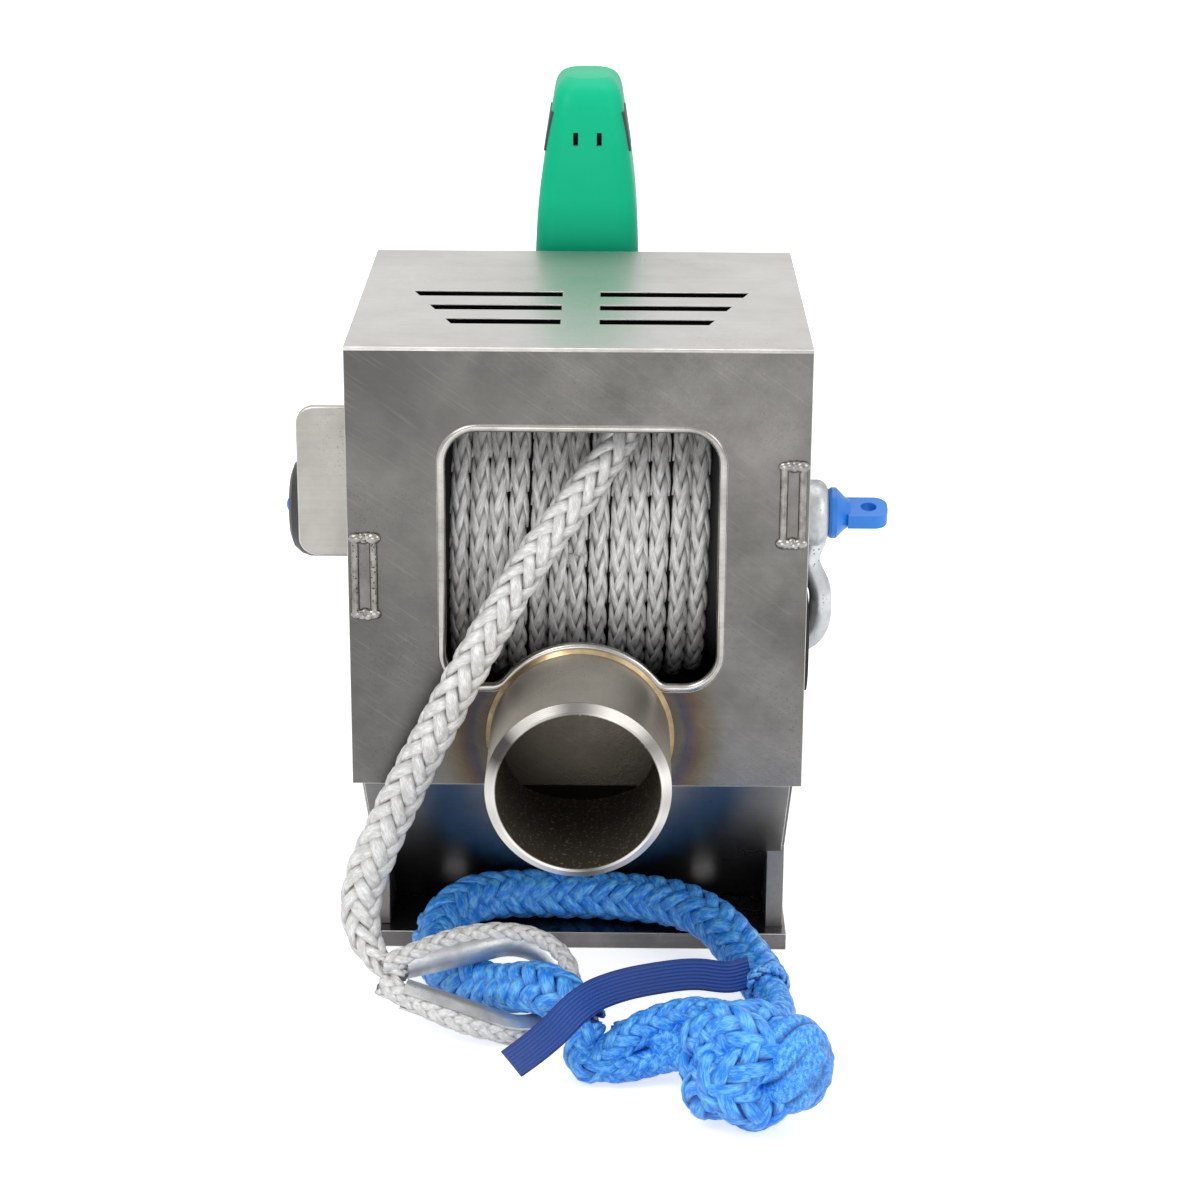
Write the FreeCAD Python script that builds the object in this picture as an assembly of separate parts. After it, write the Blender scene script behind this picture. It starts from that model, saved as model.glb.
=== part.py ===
"""Compact mooring winch: welded steel housing, rope drum, rope pipe, bow shackle,
drive unit and the spliced rope end with its thimble and soft shackle.

Frame: millimetres, +Z up, +X to the viewer's right, the front faces -Y.
The origin is the centre of the base plate's underside.
"""
import FreeCAD
import Part

import math
import os

os.makedirs("parts", exist_ok=True)
V = FreeCAD.Vector

# ---- housing ----
WIDTH = 200.0
HEIGHT = 301.8
FRONT_Y = -120.0          # outer face of the front plate
REAR_Y = 73.0             # outer face of the rear plate
BASE_FRONT_Y = -74.0
SIDE_FRONT_Y = -66.0      # lower front edge of the side plates
BASE_INSET = 2.0          # the base plate stays this far inside the front plate's edges
SIDE_INSET = 3.5          # and the side plates' outer faces this far
APRON_INSET = 5.0         # and the apron's wide part this far
BASE_T = 8.0
SIDE_T = 8.0
SHEET_T = 3.0
FRONT_LOW_Z = 102.0       # lower edge of the front plate
APRON_FOOT_Y = -30.0      # where the apron's outer face meets the base plate
WELD_CAP = 1.2            # height of the weld bead on the front plate's upper edge
FIT = 0.3                 # gap left round pieces that are slipped together

# ---- drum ----
DRUM_Y = -23.0
DRUM_Z = 202.0
FLANGE_R = 80.0
FLANGE_T = 4.0
WINDING_HALF = 62.5       # half the distance between the flanges
WINDING_R = 70.0
ROPE_D = 10.0
TURNS = 13
CORE_R = 30.0
SHAFT_R = 12.5
SPIGOT_R = 16.5
SHAFT_GAP = 0.05          # running fit in the bearings
BEARING_R = 28.0
BEARING_T = 10.0
SEAT_GAP = 0.05           # round the bearings and rods that are let into plates

# ---- rope window and vents ----
WINDOW_X = 1.7
WINDOW_HALF = 61.0        # to the centre line of the rim rod
WINDOW_LOW_Z = 148.0
WINDOW_TOP_Z = 266.5
WINDOW_R = 16.0
RIM_R = 2.0
ARCH_GAP = 2.1            # from the pipe to the rim's centre line arching over it
ARCH_BLEND_R = 8.0
VENT_W = 10.0
VENT_PITCH = 26.5
VENT_FIRST_Y = -71.5
VENT_INNER_X = 8.5
VENT_REACH = 58.0         # outer end of the front vent
VENT_STEP = 8.5           # how much longer each vent behind it is

# ---- rope pipe ----
PIPE_X = 1.3
PIPE_Z = 125.2
PIPE_R = 39.7
PIPE_WALL = 4.7
PIPE_MOUTH_Y = -184.5
PIPE_BEVEL = 3.2
PIPE_WELD = 2.0

# ---- tabs, guard and knob ----
TAB_LEFT_Z = (182.4, 216.4)
TAB_RIGHT_Z = (216.2, 250.0)
TAB_WELD_R = 1.8
GUARD_Y = -56.5
GUARD_T = 4.0
GUARD_REACH = 31.5        # how far its edge stands out from the side plate
GUARD_Z = (188.0, 258.0)
GUARD_R = 8.0
KNOB_R = 24.0
KNOB_GAP = 6.5            # from the side plate to the knob
KNOB_T = 31.3
CAP_R = 4.5

# ---- bow shackle and the opening it hangs in ----
PIN_Y = -85.0
PIN_Z = 219.0
PIN_R = 8.0
PIN_PLAY = 0.3            # round the pin in the side plate's hole
EYE_R = 14.8
EYE_T = 10.8              # thickness of the shackle's eyes
JAW_FIT = 3.0             # gap between each eye and the side plate
# the bow's half: distance from the middle, height, rod radius
BOW_STATIONS = [(12.4, 219.0, 5.4), (12.0, 210.0, 5.3), (10.2, 199.0, 5.0),
                (12.0, 191.5, 5.0), (15.2, 184.0, 5.0), (15.8, 177.0, 5.1),
                (15.3, 169.0, 5.2), (12.5, 163.0, 5.5), (7.0, 159.3, 5.8)]
BOW_LOW = (0.0, 158.0, 6.0)
COLLAR_R = 11.4
FLAG_HALF = 8.0           # half width of the pin's flag
FLAG_T = 6.5
FLAG_HOLE_R = 3.55
FLAG_TURN = 15.0          # degrees that the flag leans towards the front
PIN_OUT = 44.2            # end of the pin's flag from the middle of the jaw
HAND_Y = (-107.0, -58.0)
HAND_Z = (143.5, 180.0)
HAND_R = 14.0
TRIM_T = 2.5
TRIM_PROUD = 5.5          # how far the trim stands out over the faces of the plate
TRIM_LIP = 4.5

# ---- drive unit behind the housing ----
GEAR_FAR_X = -72.0
GEAR_R = 44.0
HOOD_Y = (83.0, 153.0)
HOOD_TOP_Z = 381.4
HOOD_R = 9.0              # corner radius seen from above
# height, half width and how far the front and back are drawn in
HOOD_LEVELS = [(297.5, 25.2, 0.0), (317.0, 24.2, 0.0), (333.0, 22.6, 0.3), (349.7, 20.2, 0.8),
               (365.0, 17.8, 2.5), (373.5, 16.3, 5.0), (378.6, 14.0, 9.5),
               (HOOD_TOP_Z, 10.5, 15.0)]
HOOD_DEGREE = 3           # a higher one makes the loft swell at its foot
HOOD_SLOT_X = 5.7
HOOD_SLOT_Z = (351.1, 357.3)
HOOD_SLOT_DEPTH = 8.0
HOOD_SEAT_Z = 312.0       # top of the neck, where the hood sits
NECK_HALF = 16.0
NECK_Y = (94.0, 142.0)
GRIP_T = 0.8
GRIP_Y = (90.0, 118.0)
GRIP_Z = (347.6, 366.4)
MOTOR_X = 1.3
MOTOR_Z = 202.0
MOTOR_R = 46.0

# ---- loose rigging ----
TAIL_R = 9.2
SHACKLE_ROPE_R = 11.0
THIMBLE_AT = V(-38.5, -154.5, 20.8)
THIMBLE_TILT = 29.0       # degrees, its rear leg raised on the soft shackle
THIMBLE_PITCH = 7.0       # its tip raised
THIMBLE_YAW = 8.0
THIMBLE_END_R = 24.0
THIMBLE_END_U = 12.0      # centre of the round end along the thimble
THIMBLE_TIP_U = -38.0
THIMBLE_TIP_W = 8.0
THIMBLE_JOIN = 110.0      # degrees round the end where the legs begin
THIMBLE_ROPE_R = 5.0
THIMBLE_WALL = 1.6
THIMBLE_LIP = 3.5
EYE_STUB = 4.0            # the eye's ends run on past the tip into the splice
SOFT_EYE_R = 6.6
SOFT_STEM_R = 7.5
KNOT_AT = V(70, -240, 28)
KNOT_R = 27.5
KNOT_END_AT = V(91.5, -247, 31)
KNOT_END_R = 19.0
RIBBON_W = 14.0
RIBBON_T = 0.8

BOLT_X = 60.0
BOLT_Y = 44.0
BOLT_HOLE_R = 5.5


# ---------------------------------------------------------------- helpers
def box(x0, x1, y0, y1, z0, z1):
    return Part.makeBox(x1 - x0, y1 - y0, z1 - z0, V(x0, y0, z0))


def rod(r, start, along, length):
    return Part.makeCylinder(r, length, start, along)


def face_of(points):
    wire = Part.makePolygon(list(points) + [points[0]])
    return Part.Face(wire)


def rounded_rect(x0, x1, z0, z1, r, y):
    """Closed wire of a rectangle with round corners in the plane Y = y."""
    s = r * (1 - math.sqrt(0.5))
    p = {
        "bl": (V(x0, y, z0 + r), V(x0 + s, y, z0 + s), V(x0 + r, y, z0)),
        "br": (V(x1 - r, y, z0), V(x1 - s, y, z0 + s), V(x1, y, z0 + r)),
        "tr": (V(x1, y, z1 - r), V(x1 - s, y, z1 - s), V(x1 - r, y, z1)),
        "tl": (V(x0 + r, y, z1), V(x0 + s, y, z1 - s), V(x0, y, z1 - r)),
    }
    edges = []
    order = ["bl", "br", "tr", "tl"]
    for i, key in enumerate(order):
        a, m, b = p[key]
        nxt = p[order[(i + 1) % 4]][0]
        edges.append(Part.Arc(a, m, b).toShape())
        edges.append(Part.makeLine(b, nxt))
    return Part.Wire(edges)


def tangent_path(points, radii=None, name=""):
    """Straight runs joined by tangent arcs, each as large as its two runs allow."""
    pts = [V(*p) for p in points]
    edges = []
    at = pts[0]
    made = []
    for i in range(1, len(pts) - 1):
        a, b, c = pts[i - 1], pts[i], pts[i + 1]
        u = (b - a).normalize()
        w = (c - b).normalize()
        turn = u.getAngle(w)
        reach = 0.45 * min((b - a).Length, (c - b).Length)
        made.append(round(reach / math.tan(turn / 2), 1))
        start = b - u * reach
        end = b + w * reach
        half = (w - u).normalize()
        radius = reach / math.tan(turn / 2)
        centre = b + half * (radius / math.cos(turn / 2))
        mid = centre - half * radius
        edges.append(Part.LineSegment(at, start).toShape())
        edges.append(Part.Arc(start, mid, end).toShape())
        at = end
    edges.append(Part.LineSegment(at, pts[-1]).toShape())
    wire = Part.Wire(edges)
    print(name, "radii", made, "length", round(wire.Length, 1))
    return wire


def tube(points, radius, name):
    """Round cord along straight runs and tangent arcs."""
    wire = tangent_path(points, name=name)
    first = V(*points[0])
    along = (V(*points[1]) - first).normalize()
    ring = Part.Wire(Part.makeCircle(radius, first, along))
    solid = wire.makePipeShell([ring], True, False)
    ideal = math.pi * radius ** 2 * wire.Length
    print(name, "volume ratio", round(solid.Volume / ideal, 4))
    return solid


def save(shape, node):
    solids = shape.Solids
    if len(solids) == 1:
        shape = solids[0]
    if not shape.isValid():
        print("NOT VALID", node)
    print(node, "solids", len(solids), "cm3", round(shape.Volume / 1000, 2))
    shape.exportStep("parts/" + node + ".step")


def spun(profile, centre, axis):
    """Solid made by turning a closed profile of (radius, along) points round an axis."""
    pts = [V(r, 0, a) for r, a in profile]
    solid = face_of(pts).revolve(V(0, 0, 0), V(0, 0, 1), 360)
    solid.Placement = FreeCAD.Placement(centre, FreeCAD.Rotation(V(0, 0, 1), axis))
    return solid


# ---------------------------------------------------------------- housing
SIDE_OUT = WIDTH / 2 - SIDE_INSET
SIDE_IN = SIDE_OUT - SIDE_T
ARCH_R = PIPE_R + ARCH_GAP
PIPE_BORE_R = PIPE_R - PIPE_WALL
PIN_HOLE_R = PIN_R + PIN_PLAY
JAW = SIDE_T + 2 * JAW_FIT
JAW_X = SIDE_OUT - SIDE_T / 2
PIN_END_X = JAW_X + PIN_OUT
KNOB_NEAR = SIDE_OUT + KNOB_GAP
KNOB_FAR = KNOB_NEAR + KNOB_T
GUARD_X = SIDE_OUT + GUARD_REACH
TOP_UNDER = HEIGHT - SHEET_T
APRON_TOP = V(0, FRONT_Y, FRONT_LOW_Z)
APRON_FOOT = V(0, APRON_FOOT_Y, BASE_T)
APRON_DIR = (APRON_FOOT - APRON_TOP).normalize()
APRON_OUT = V(0, APRON_DIR.z, -APRON_DIR.y)
APRON_IN_TOP = APRON_TOP - APRON_OUT * SHEET_T


def apron_inner(y):
    """Height of the apron's inner face at a place Y."""
    return APRON_IN_TOP.z + (y - APRON_IN_TOP.y) * APRON_DIR.z / APRON_DIR.y


def base_plate():
    half = WIDTH / 2 - BASE_INSET
    plate = box(-half, half, BASE_FRONT_Y, REAR_Y, 0, BASE_T)
    for x in (-BOLT_X, BOLT_X):
        for y in (-BOLT_Y, BOLT_Y):
            plate = plate.cut(rod(BOLT_HOLE_R, V(x, y, -1), V(0, 0, 1), BASE_T + 2))
    return plate


def side_blank(x_in, x_out, tab):
    y_front = FRONT_Y + SHEET_T
    outline = [
        V(x_in, y_front, TOP_UNDER),
        V(x_in, y_front, tab[1]),
        V(x_in, FRONT_Y, tab[1]),
        V(x_in, FRONT_Y, tab[0]),
        V(x_in, y_front, tab[0]),
        V(x_in, y_front, apron_inner(y_front)),
        V(x_in, SIDE_FRONT_Y, apron_inner(SIDE_FRONT_Y)),
        V(x_in, SIDE_FRONT_Y, BASE_T),
        V(x_in, REAR_Y, BASE_T),
        V(x_in, REAR_Y, TOP_UNDER),
    ]
    plate = face_of(outline).extrude(V(x_out - x_in, 0, 0))
    seat_r = SPIGOT_R + SEAT_GAP
    seat = rod(seat_r, V(min(x_in, x_out) - 1, DRUM_Y, DRUM_Z), V(1, 0, 0), SIDE_T + 2)
    return plate.cut(seat)


def hand_hole_wire(x, inset):
    wire = rounded_rect(
        HAND_Y[0] + inset, HAND_Y[1] - inset, HAND_Z[0] + inset, HAND_Z[1] - inset,
        HAND_R - inset, 0)
    turn = FreeCAD.Rotation(V(0, 0, 1), 90)
    wire.Placement = FreeCAD.Placement(V(x, 0, 0), turn)
    return wire


def side_plate_right():
    plate = side_blank(SIDE_IN, SIDE_OUT, TAB_RIGHT_Z)
    hole = Part.Face(hand_hole_wire(SIDE_IN - 1, 0)).extrude(V(SIDE_T + 2, 0, 0))
    pin_hole = rod(PIN_HOLE_R, V(SIDE_IN - 1, PIN_Y, PIN_Z), V(1, 0, 0), SIDE_T + 2)
    return plate.cut(hole).cut(pin_hole)


def hand_hole_trim():
    """Rubber edging with lips over both faces of the plate."""
    x0 = SIDE_IN - TRIM_PROUD
    width = SIDE_T + 2 * TRIM_PROUD
    body = Part.Face(hand_hole_wire(x0, -TRIM_LIP)).extrude(V(width, 0, 0))
    opening = Part.Face(hand_hole_wire(x0 - 1, TRIM_T)).extrude(V(width + 2, 0, 0))
    slot = Part.Face(hand_hole_wire(SIDE_IN, -TRIM_LIP - 1)).extrude(V(SIDE_T, 0, 0))
    keep = Part.Face(hand_hole_wire(SIDE_IN, 0)).extrude(V(SIDE_T, 0, 0))
    return body.cut(slot.cut(keep)).cut(opening)


def window_centre_line(y):
    """Rim centre line: a rounded rectangle whose lower edge arches over the pipe."""
    up = WINDOW_LOW_Z - PIPE_Z + ARCH_BLEND_R
    side = math.sqrt((ARCH_R + ARCH_BLEND_R) ** 2 - up ** 2)
    lean = math.atan2(up, side)
    r = WINDOW_R
    s = r * (1 - math.sqrt(0.5))
    x0, x1, z0, z1 = WINDOW_X - WINDOW_HALF, WINDOW_X + WINDOW_HALF, WINDOW_LOW_Z, WINDOW_TOP_Z
    blend_z = WINDOW_LOW_Z + ARCH_BLEND_R
    touch_x = ARCH_R * math.cos(lean)
    touch_z = PIPE_Z + ARCH_R * math.sin(lean)
    half = (lean + math.pi / 2) / 2

    def blend(sign):
        mid = V(PIPE_X + sign * (side - ARCH_BLEND_R * math.cos(half)), y,
                blend_z - ARCH_BLEND_R * math.sin(half))
        return V(PIPE_X + sign * side, y, z0), mid, V(PIPE_X + sign * touch_x, y, touch_z)

    left_foot, left_mid, left_top = blend(-1)
    right_foot, right_mid, right_top = blend(1)
    edges = [
        Part.Arc(V(x0, y, z0 + r), V(x0 + s, y, z0 + s), V(x0 + r, y, z0)).toShape(),
        Part.makeLine(V(x0 + r, y, z0), left_foot),
        Part.Arc(left_foot, left_mid, left_top).toShape(),
        Part.Arc(left_top, V(PIPE_X, y, PIPE_Z + ARCH_R), right_top).toShape(),
        Part.Arc(right_top, right_mid, right_foot).toShape(),
        Part.makeLine(right_foot, V(x1 - r, y, z0)),
        Part.Arc(V(x1 - r, y, z0), V(x1 - s, y, z0 + s), V(x1, y, z0 + r)).toShape(),
        Part.makeLine(V(x1, y, z0 + r), V(x1, y, z1 - r)),
        Part.Arc(V(x1, y, z1 - r), V(x1 - s, y, z1 - s), V(x1 - r, y, z1)).toShape(),
        Part.makeLine(V(x1 - r, y, z1), V(x0 + r, y, z1)),
        Part.Arc(V(x0 + r, y, z1), V(x0 + s, y, z1 - s), V(x0, y, z1 - r)).toShape(),
        Part.makeLine(V(x0, y, z1 - r), V(x0, y, z0 + r)),
    ]
    return Part.Wire(edges)


def window_rim(radius=RIM_R):
    wire = window_centre_line(FRONT_Y + SHEET_T / 2)
    first = wire.Edges[0]
    start = first.FirstParameter
    ring = Part.Wire(Part.makeCircle(radius, first.valueAt(start), first.tangentAt(start)))
    return wire.makePipeShell([ring], True, False)


def front_plate():
    plate = box(-WIDTH / 2, WIDTH / 2, FRONT_Y, FRONT_Y + SHEET_T, FRONT_LOW_Z,
                HEIGHT - WELD_CAP)
    line = window_centre_line(FRONT_Y - 1)
    opening = Part.Face(line).extrude(V(0, SHEET_T + 2, 0))
    plate = plate.cut(opening).cut(window_rim(RIM_R + SEAT_GAP))
    plate = plate.cut(box(-SIDE_OUT, -SIDE_IN, FRONT_Y - 1, FRONT_Y + SHEET_T, *TAB_LEFT_Z))
    return plate.cut(box(SIDE_IN, SIDE_OUT, FRONT_Y - 1, FRONT_Y + SHEET_T, *TAB_RIGHT_Z))


def top_plate():
    y_front = FRONT_Y + SHEET_T
    plate = box(-WIDTH / 2, WIDTH / 2, y_front, REAR_Y, TOP_UNDER, HEIGHT)
    slope = VENT_STEP / VENT_PITCH
    for row in range(3):
        y = VENT_FIRST_Y + row * VENT_PITCH
        reach = VENT_REACH + row * VENT_STEP
        near = reach - slope * VENT_W / 2
        far = reach + slope * VENT_W / 2
        for side in (-1, 1):
            outline = [
                V(side * VENT_INNER_X, y - VENT_W / 2, TOP_UNDER - 1),
                V(side * near, y - VENT_W / 2, TOP_UNDER - 1),
                V(side * far, y + VENT_W / 2, TOP_UNDER - 1),
                V(side * VENT_INNER_X, y + VENT_W / 2, TOP_UNDER - 1),
            ]
            plate = plate.cut(face_of(outline).extrude(V(0, 0, SHEET_T + 2)))
    return plate


def corner_weld():
    """Weld bead along the front plate's upper edge, flush with the top plate."""
    x, y, z = -WIDTH / 2, FRONT_Y + SHEET_T, HEIGHT - WELD_CAP
    r = WELD_CAP
    edges = [
        Part.makeLine(V(x, y, z), V(x, FRONT_Y, z)),
        Part.Arc(V(x, FRONT_Y, z), V(x, FRONT_Y + r * (1 - math.sqrt(0.5)),
                                     z + r * math.sqrt(0.5)),
                 V(x, FRONT_Y + r, HEIGHT)).toShape(),
        Part.makeLine(V(x, FRONT_Y + r, HEIGHT), V(x, y, HEIGHT)),
        Part.makeLine(V(x, y, HEIGHT), V(x, y, z)),
    ]
    return Part.Face(Part.Wire(edges)).extrude(V(WIDTH, 0, 0))


def apron_plate():
    """Inclined sheet: wide over the side plates' edges, narrow between them below."""
    inner_foot = V(0, APRON_FOOT_Y + SHEET_T / abs(APRON_DIR.z), BASE_T)
    step_in = V(0, SIDE_FRONT_Y, apron_inner(SIDE_FRONT_Y))
    step_out = step_in + APRON_OUT * SHEET_T
    inner_top = V(0, APRON_IN_TOP.y + (APRON_IN_TOP.z - FRONT_LOW_Z)
                  * APRON_DIR.y / -APRON_DIR.z, FRONT_LOW_Z)

    def strip(half, outline):
        side = V(-half, 0, 0)
        return face_of([p + side for p in outline]).extrude(V(2 * half, 0, 0))

    half = WIDTH / 2 - APRON_INSET
    upper = strip(half,
                  [APRON_TOP, inner_top, step_in, step_out])
    lower = strip(SIDE_IN, [step_out, step_in, inner_foot, APRON_FOOT])
    return upper.fuse(lower).removeSplitter()


def rear_plate():
    plate = box(-SIDE_IN, SIDE_IN, REAR_Y - SHEET_T, REAR_Y, BASE_T, TOP_UNDER)
    return plate


def rope_pipe():
    """Tube stub, bevelled at its mouth, its lower half running back to the apron."""
    length = 200.0
    y0 = PIPE_MOUTH_Y
    root = PIPE_R - PIPE_BEVEL
    profile = [(PIPE_BORE_R, 0), (root, 0), (PIPE_R, PIPE_BEVEL * 0.8), (PIPE_R, length),
               (PIPE_BORE_R, length)]
    full = spun(profile, V(PIPE_X, y0, PIPE_Z), V(0, 1, 0))
    keep_front = box(-60, 60, y0 - 1, FRONT_Y, 40, 180)
    # the space in front of and under the apron's outer face
    end = APRON_TOP + APRON_DIR * 2 * PIPE_R
    wedge = [V(0, FRONT_Y - 1, FRONT_LOW_Z), APRON_TOP, end, V(0, FRONT_Y - 1, end.z)]
    side = V(-60, 0, 0)
    under = face_of([p + side for p in wedge]).extrude(V(120, 0, 0))
    return full.common(keep_front.fuse(under))


def pipe_weld():
    """Fillet collar where the pipe meets the front plate above its lower edge."""
    c = PIPE_WELD
    profile = [(PIPE_R, 0), (PIPE_R + c, 0), (PIPE_R + 0.45 * c, -0.55 * c), (PIPE_R, -c)]
    collar = spun(profile, V(PIPE_X, FRONT_Y, PIPE_Z), V(0, 1, 0))
    # the collar stops under the window's rim, where the arch passes close over the pipe
    rim = window_rim()
    keep = box(-60, 60, FRONT_Y - 20, FRONT_Y, FRONT_LOW_Z, 200)
    opening = Part.Face(window_centre_line(FRONT_Y - 20)).extrude(V(0, 20, 0))
    return collar.common(keep).cut(opening).cut(rim)


def tab_weld(side, tab):
    """Two beads along a tab with a blob at each end, on the front plate's face."""
    inner = side * (SIDE_IN + 0.2)
    outer = side * (SIDE_OUT + 0.3)
    z0, z1 = tab
    beads = None
    for x in (inner, outer):
        bead = rod(TAB_WELD_R, V(x, FRONT_Y, z0), V(0, 0, 1), z1 - z0)
        beads = bead if beads is None else beads.fuse(bead)
    middle = (inner + outer) / 2
    for z in (z0, z1):
        blob = Part.makeSphere(2.6, V(middle, FRONT_Y + 0.6, z))
        link = rod(TAB_WELD_R, V(min(inner, outer), FRONT_Y, z), V(1, 0, 0), abs(outer - inner))
        ends = [Part.makeSphere(TAB_WELD_R, V(x, FRONT_Y, z)) for x in (inner, outer)]
        beads = beads.fuse([blob, link] + ends)
    front = box(-WIDTH / 2, WIDTH / 2, FRONT_Y - 10, FRONT_Y, 0, HEIGHT)
    return beads.common(front).removeSplitter()


def bearing(side):
    """Flanged bush on the inner face of a side plate, with a spigot through it."""
    x = side * SIDE_IN
    outward = V(side, 0, 0)
    bore = SHAFT_R + SHAFT_GAP
    profile = [(bore, -BEARING_T), (BEARING_R * 0.62, -BEARING_T), (BEARING_R * 0.68, -4),
               (BEARING_R, -4), (BEARING_R, 0), (SPIGOT_R, 0), (SPIGOT_R, SIDE_T),
               (bore, SIDE_T)]
    return spun(profile, V(x, DRUM_Y, DRUM_Z), outward)


# ---------------------------------------------------------------- drive unit
def gear_case():
    """Flat gearbox that stands on the left side plate's inner face."""
    x0, x1 = -SIDE_IN, GEAR_FAR_X
    lobe = rod(GEAR_R, V(x0, DRUM_Y, DRUM_Z), V(1, 0, 0), x1 - x0)
    rear = REAR_Y - SHEET_T
    arm = box(x0, x1, DRUM_Y, rear, DRUM_Z - GEAR_R, DRUM_Z + GEAR_R)
    case = lobe.fuse(arm).removeSplitter()
    hollow = rod(BEARING_R + 1, V(x0 - 1, DRUM_Y, DRUM_Z), V(1, 0, 0), BEARING_T + 2)
    way = rod(SHAFT_R + 5, V(x0 - 1, DRUM_Y, DRUM_Z), V(1, 0, 0), x1 - x0 + 2)
    return case.cut(hollow).cut(way)


def motor_flange():
    y0 = REAR_Y
    plate = box(MOTOR_X - 55, MOTOR_X + 55, y0, y0 + 6, MOTOR_Z - 55, MOTOR_Z + 55)
    edges = [e for e in plate.Edges if abs(e.tangentAt(0).y) > 0.9]
    return plate.makeFillet(12, edges)


def motor_body():
    """Geared motor on the rear flange, its cap domed."""
    r = MOTOR_R
    y0 = REAR_Y + 6
    profile = [(0, 0), (r, 0), (r, 18), (r - 3, 21), (r - 3, 60), (r - 9, 68), (0, 70)]
    can = spun(profile, V(MOTOR_X, y0, MOTOR_Z), V(0, 1, 0))
    neck = box(MOTOR_X - NECK_HALF, MOTOR_X + NECK_HALF, NECK_Y[0], NECK_Y[1],
               MOTOR_Z + 20, HOOD_SEAT_Z)
    return can.fuse(neck).removeSplitter()


def hood_section(half, z, y0, y1, r):
    """Rounded outline of the hood at one height, in a horizontal plane."""
    wire = rounded_rect(MOTOR_X - half, MOTOR_X + half, -y1, -y0, min(r, half - 0.5), 0)
    turn = FreeCAD.Rotation(V(1, 0, 0), 90)
    wire.Placement = FreeCAD.Placement(V(0, 0, z), turn)
    return wire


def hood_loft(grow, levels):
    rings = [hood_section(h + grow, z, HOOD_Y[0] + cut - grow, HOOD_Y[1] - cut + grow, HOOD_R)
             for z, h, cut in levels]
    return Part.makeLoft(rings, True, False, False, HOOD_DEGREE)


def motor_hood():
    """Moulded hood that narrows towards its rounded top and slips over the motor's neck."""
    body = hood_loft(0, HOOD_LEVELS)
    for x in (MOTOR_X - HOOD_SLOT_X, MOTOR_X + HOOD_SLOT_X):
        body = body.cut(box(x - 1.2, x + 1.2, HOOD_Y[0] - 2, HOOD_Y[0] + HOOD_SLOT_DEPTH,
                            *HOOD_SLOT_Z))
    socket = box(MOTOR_X - NECK_HALF - FIT, MOTOR_X + NECK_HALF + FIT, NECK_Y[0] - FIT,
                 NECK_Y[1] + FIT, HOOD_LEVELS[0][0] - 1, HOOD_SEAT_Z)
    return body.cut(socket)


def hood_grip(side):
    """Thin dark pad on one flank of the hood."""
    pad = hood_loft(GRIP_T, HOOD_LEVELS).cut(hood_loft(0, HOOD_LEVELS))
    x0, x1 = sorted((MOTOR_X + side * 10, MOTOR_X + side * 40))
    return pad.common(box(x0, x1, GRIP_Y[0], GRIP_Y[1], GRIP_Z[0], GRIP_Z[1]))


# ---------------------------------------------------------------- drum
def drum_pieces():
    centre = V(0, DRUM_Y, DRUM_Z)
    axis = V(1, 0, 0)
    half = WINDING_HALF
    core = spun([(SHAFT_R, -half), (CORE_R, -half), (CORE_R, half), (SHAFT_R, half)],
                centre, axis)
    save(core, "drum_core")
    for side, name in ((-1, "left"), (1, "right")):
        a, b = sorted((side * half, side * (half + FLANGE_T)))
        flange = spun([(SHAFT_R, a), (FLANGE_R, a), (FLANGE_R, b), (SHAFT_R, b)], centre, axis)
        save(flange, "drum_flange_" + name)
    left_end = -KNOB_FAR + 8
    shaft = rod(SHAFT_R, V(left_end, DRUM_Y, DRUM_Z), axis, SIDE_OUT - left_end)
    save(shaft, "drum_shaft")
    save(wound_rope(), "wound_rope")
    save(clutch_knob(), "clutch_knob")
    save(knob_cap(), "knob_cap")


def wound_rope():
    """The top layer's turns as ridges on one ring, filling the drum between its flanges."""
    pitch = 2 * WINDING_HALF / TURNS
    r_mid = WINDING_R - ROPE_D / 2
    edges = []
    left = -WINDING_HALF
    for i in range(TURNS):
        x0 = left + i * pitch
        x1 = x0 + pitch
        edges.append(Part.Arc(V(r_mid, 0, x0), V(WINDING_R, 0, (x0 + x1) / 2),
                              V(r_mid, 0, x1)).toShape())
    edges.append(Part.makeLine(V(r_mid, 0, WINDING_HALF), V(CORE_R, 0, WINDING_HALF)))
    edges.append(Part.makeLine(V(CORE_R, 0, WINDING_HALF), V(CORE_R, 0, left)))
    edges.append(Part.makeLine(V(CORE_R, 0, left), V(r_mid, 0, left)))
    solid = Part.Face(Part.Wire(edges)).revolve(V(0, 0, 0), V(0, 0, 1), 360)
    solid.Placement = FreeCAD.Placement(V(0, DRUM_Y, DRUM_Z),
                                        FreeCAD.Rotation(V(0, 0, 1), V(1, 0, 0)))
    return solid


def clutch_knob():
    """Round knob on the shaft's end, its outer edge rounded off."""
    near, far, r = KNOB_NEAR, KNOB_FAR, KNOB_R
    profile = [(0, near), (r - 3, near), (r, near + 2), (r, far - 9), (r - 1.4, far - 5),
               (r - 4.5, far - 1.6), (r - 9, far), (0, far)]
    knob = spun(profile, V(0, DRUM_Y, DRUM_Z), V(-1, 0, 0))
    bore = rod(SHAFT_R, V(-far + 8, DRUM_Y, DRUM_Z), V(1, 0, 0), far)
    return knob.cut(bore)


def knob_cap():
    ball_r = CAP_R * 1.15
    ball = Part.makeSphere(ball_r, V(-KNOB_FAR + 2.6, DRUM_Y, DRUM_Z))
    outside = box(-KNOB_FAR - 20, -KNOB_FAR, DRUM_Y - 20, DRUM_Y + 20, DRUM_Z - 20, DRUM_Z + 20)
    return ball.common(outside)


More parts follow.
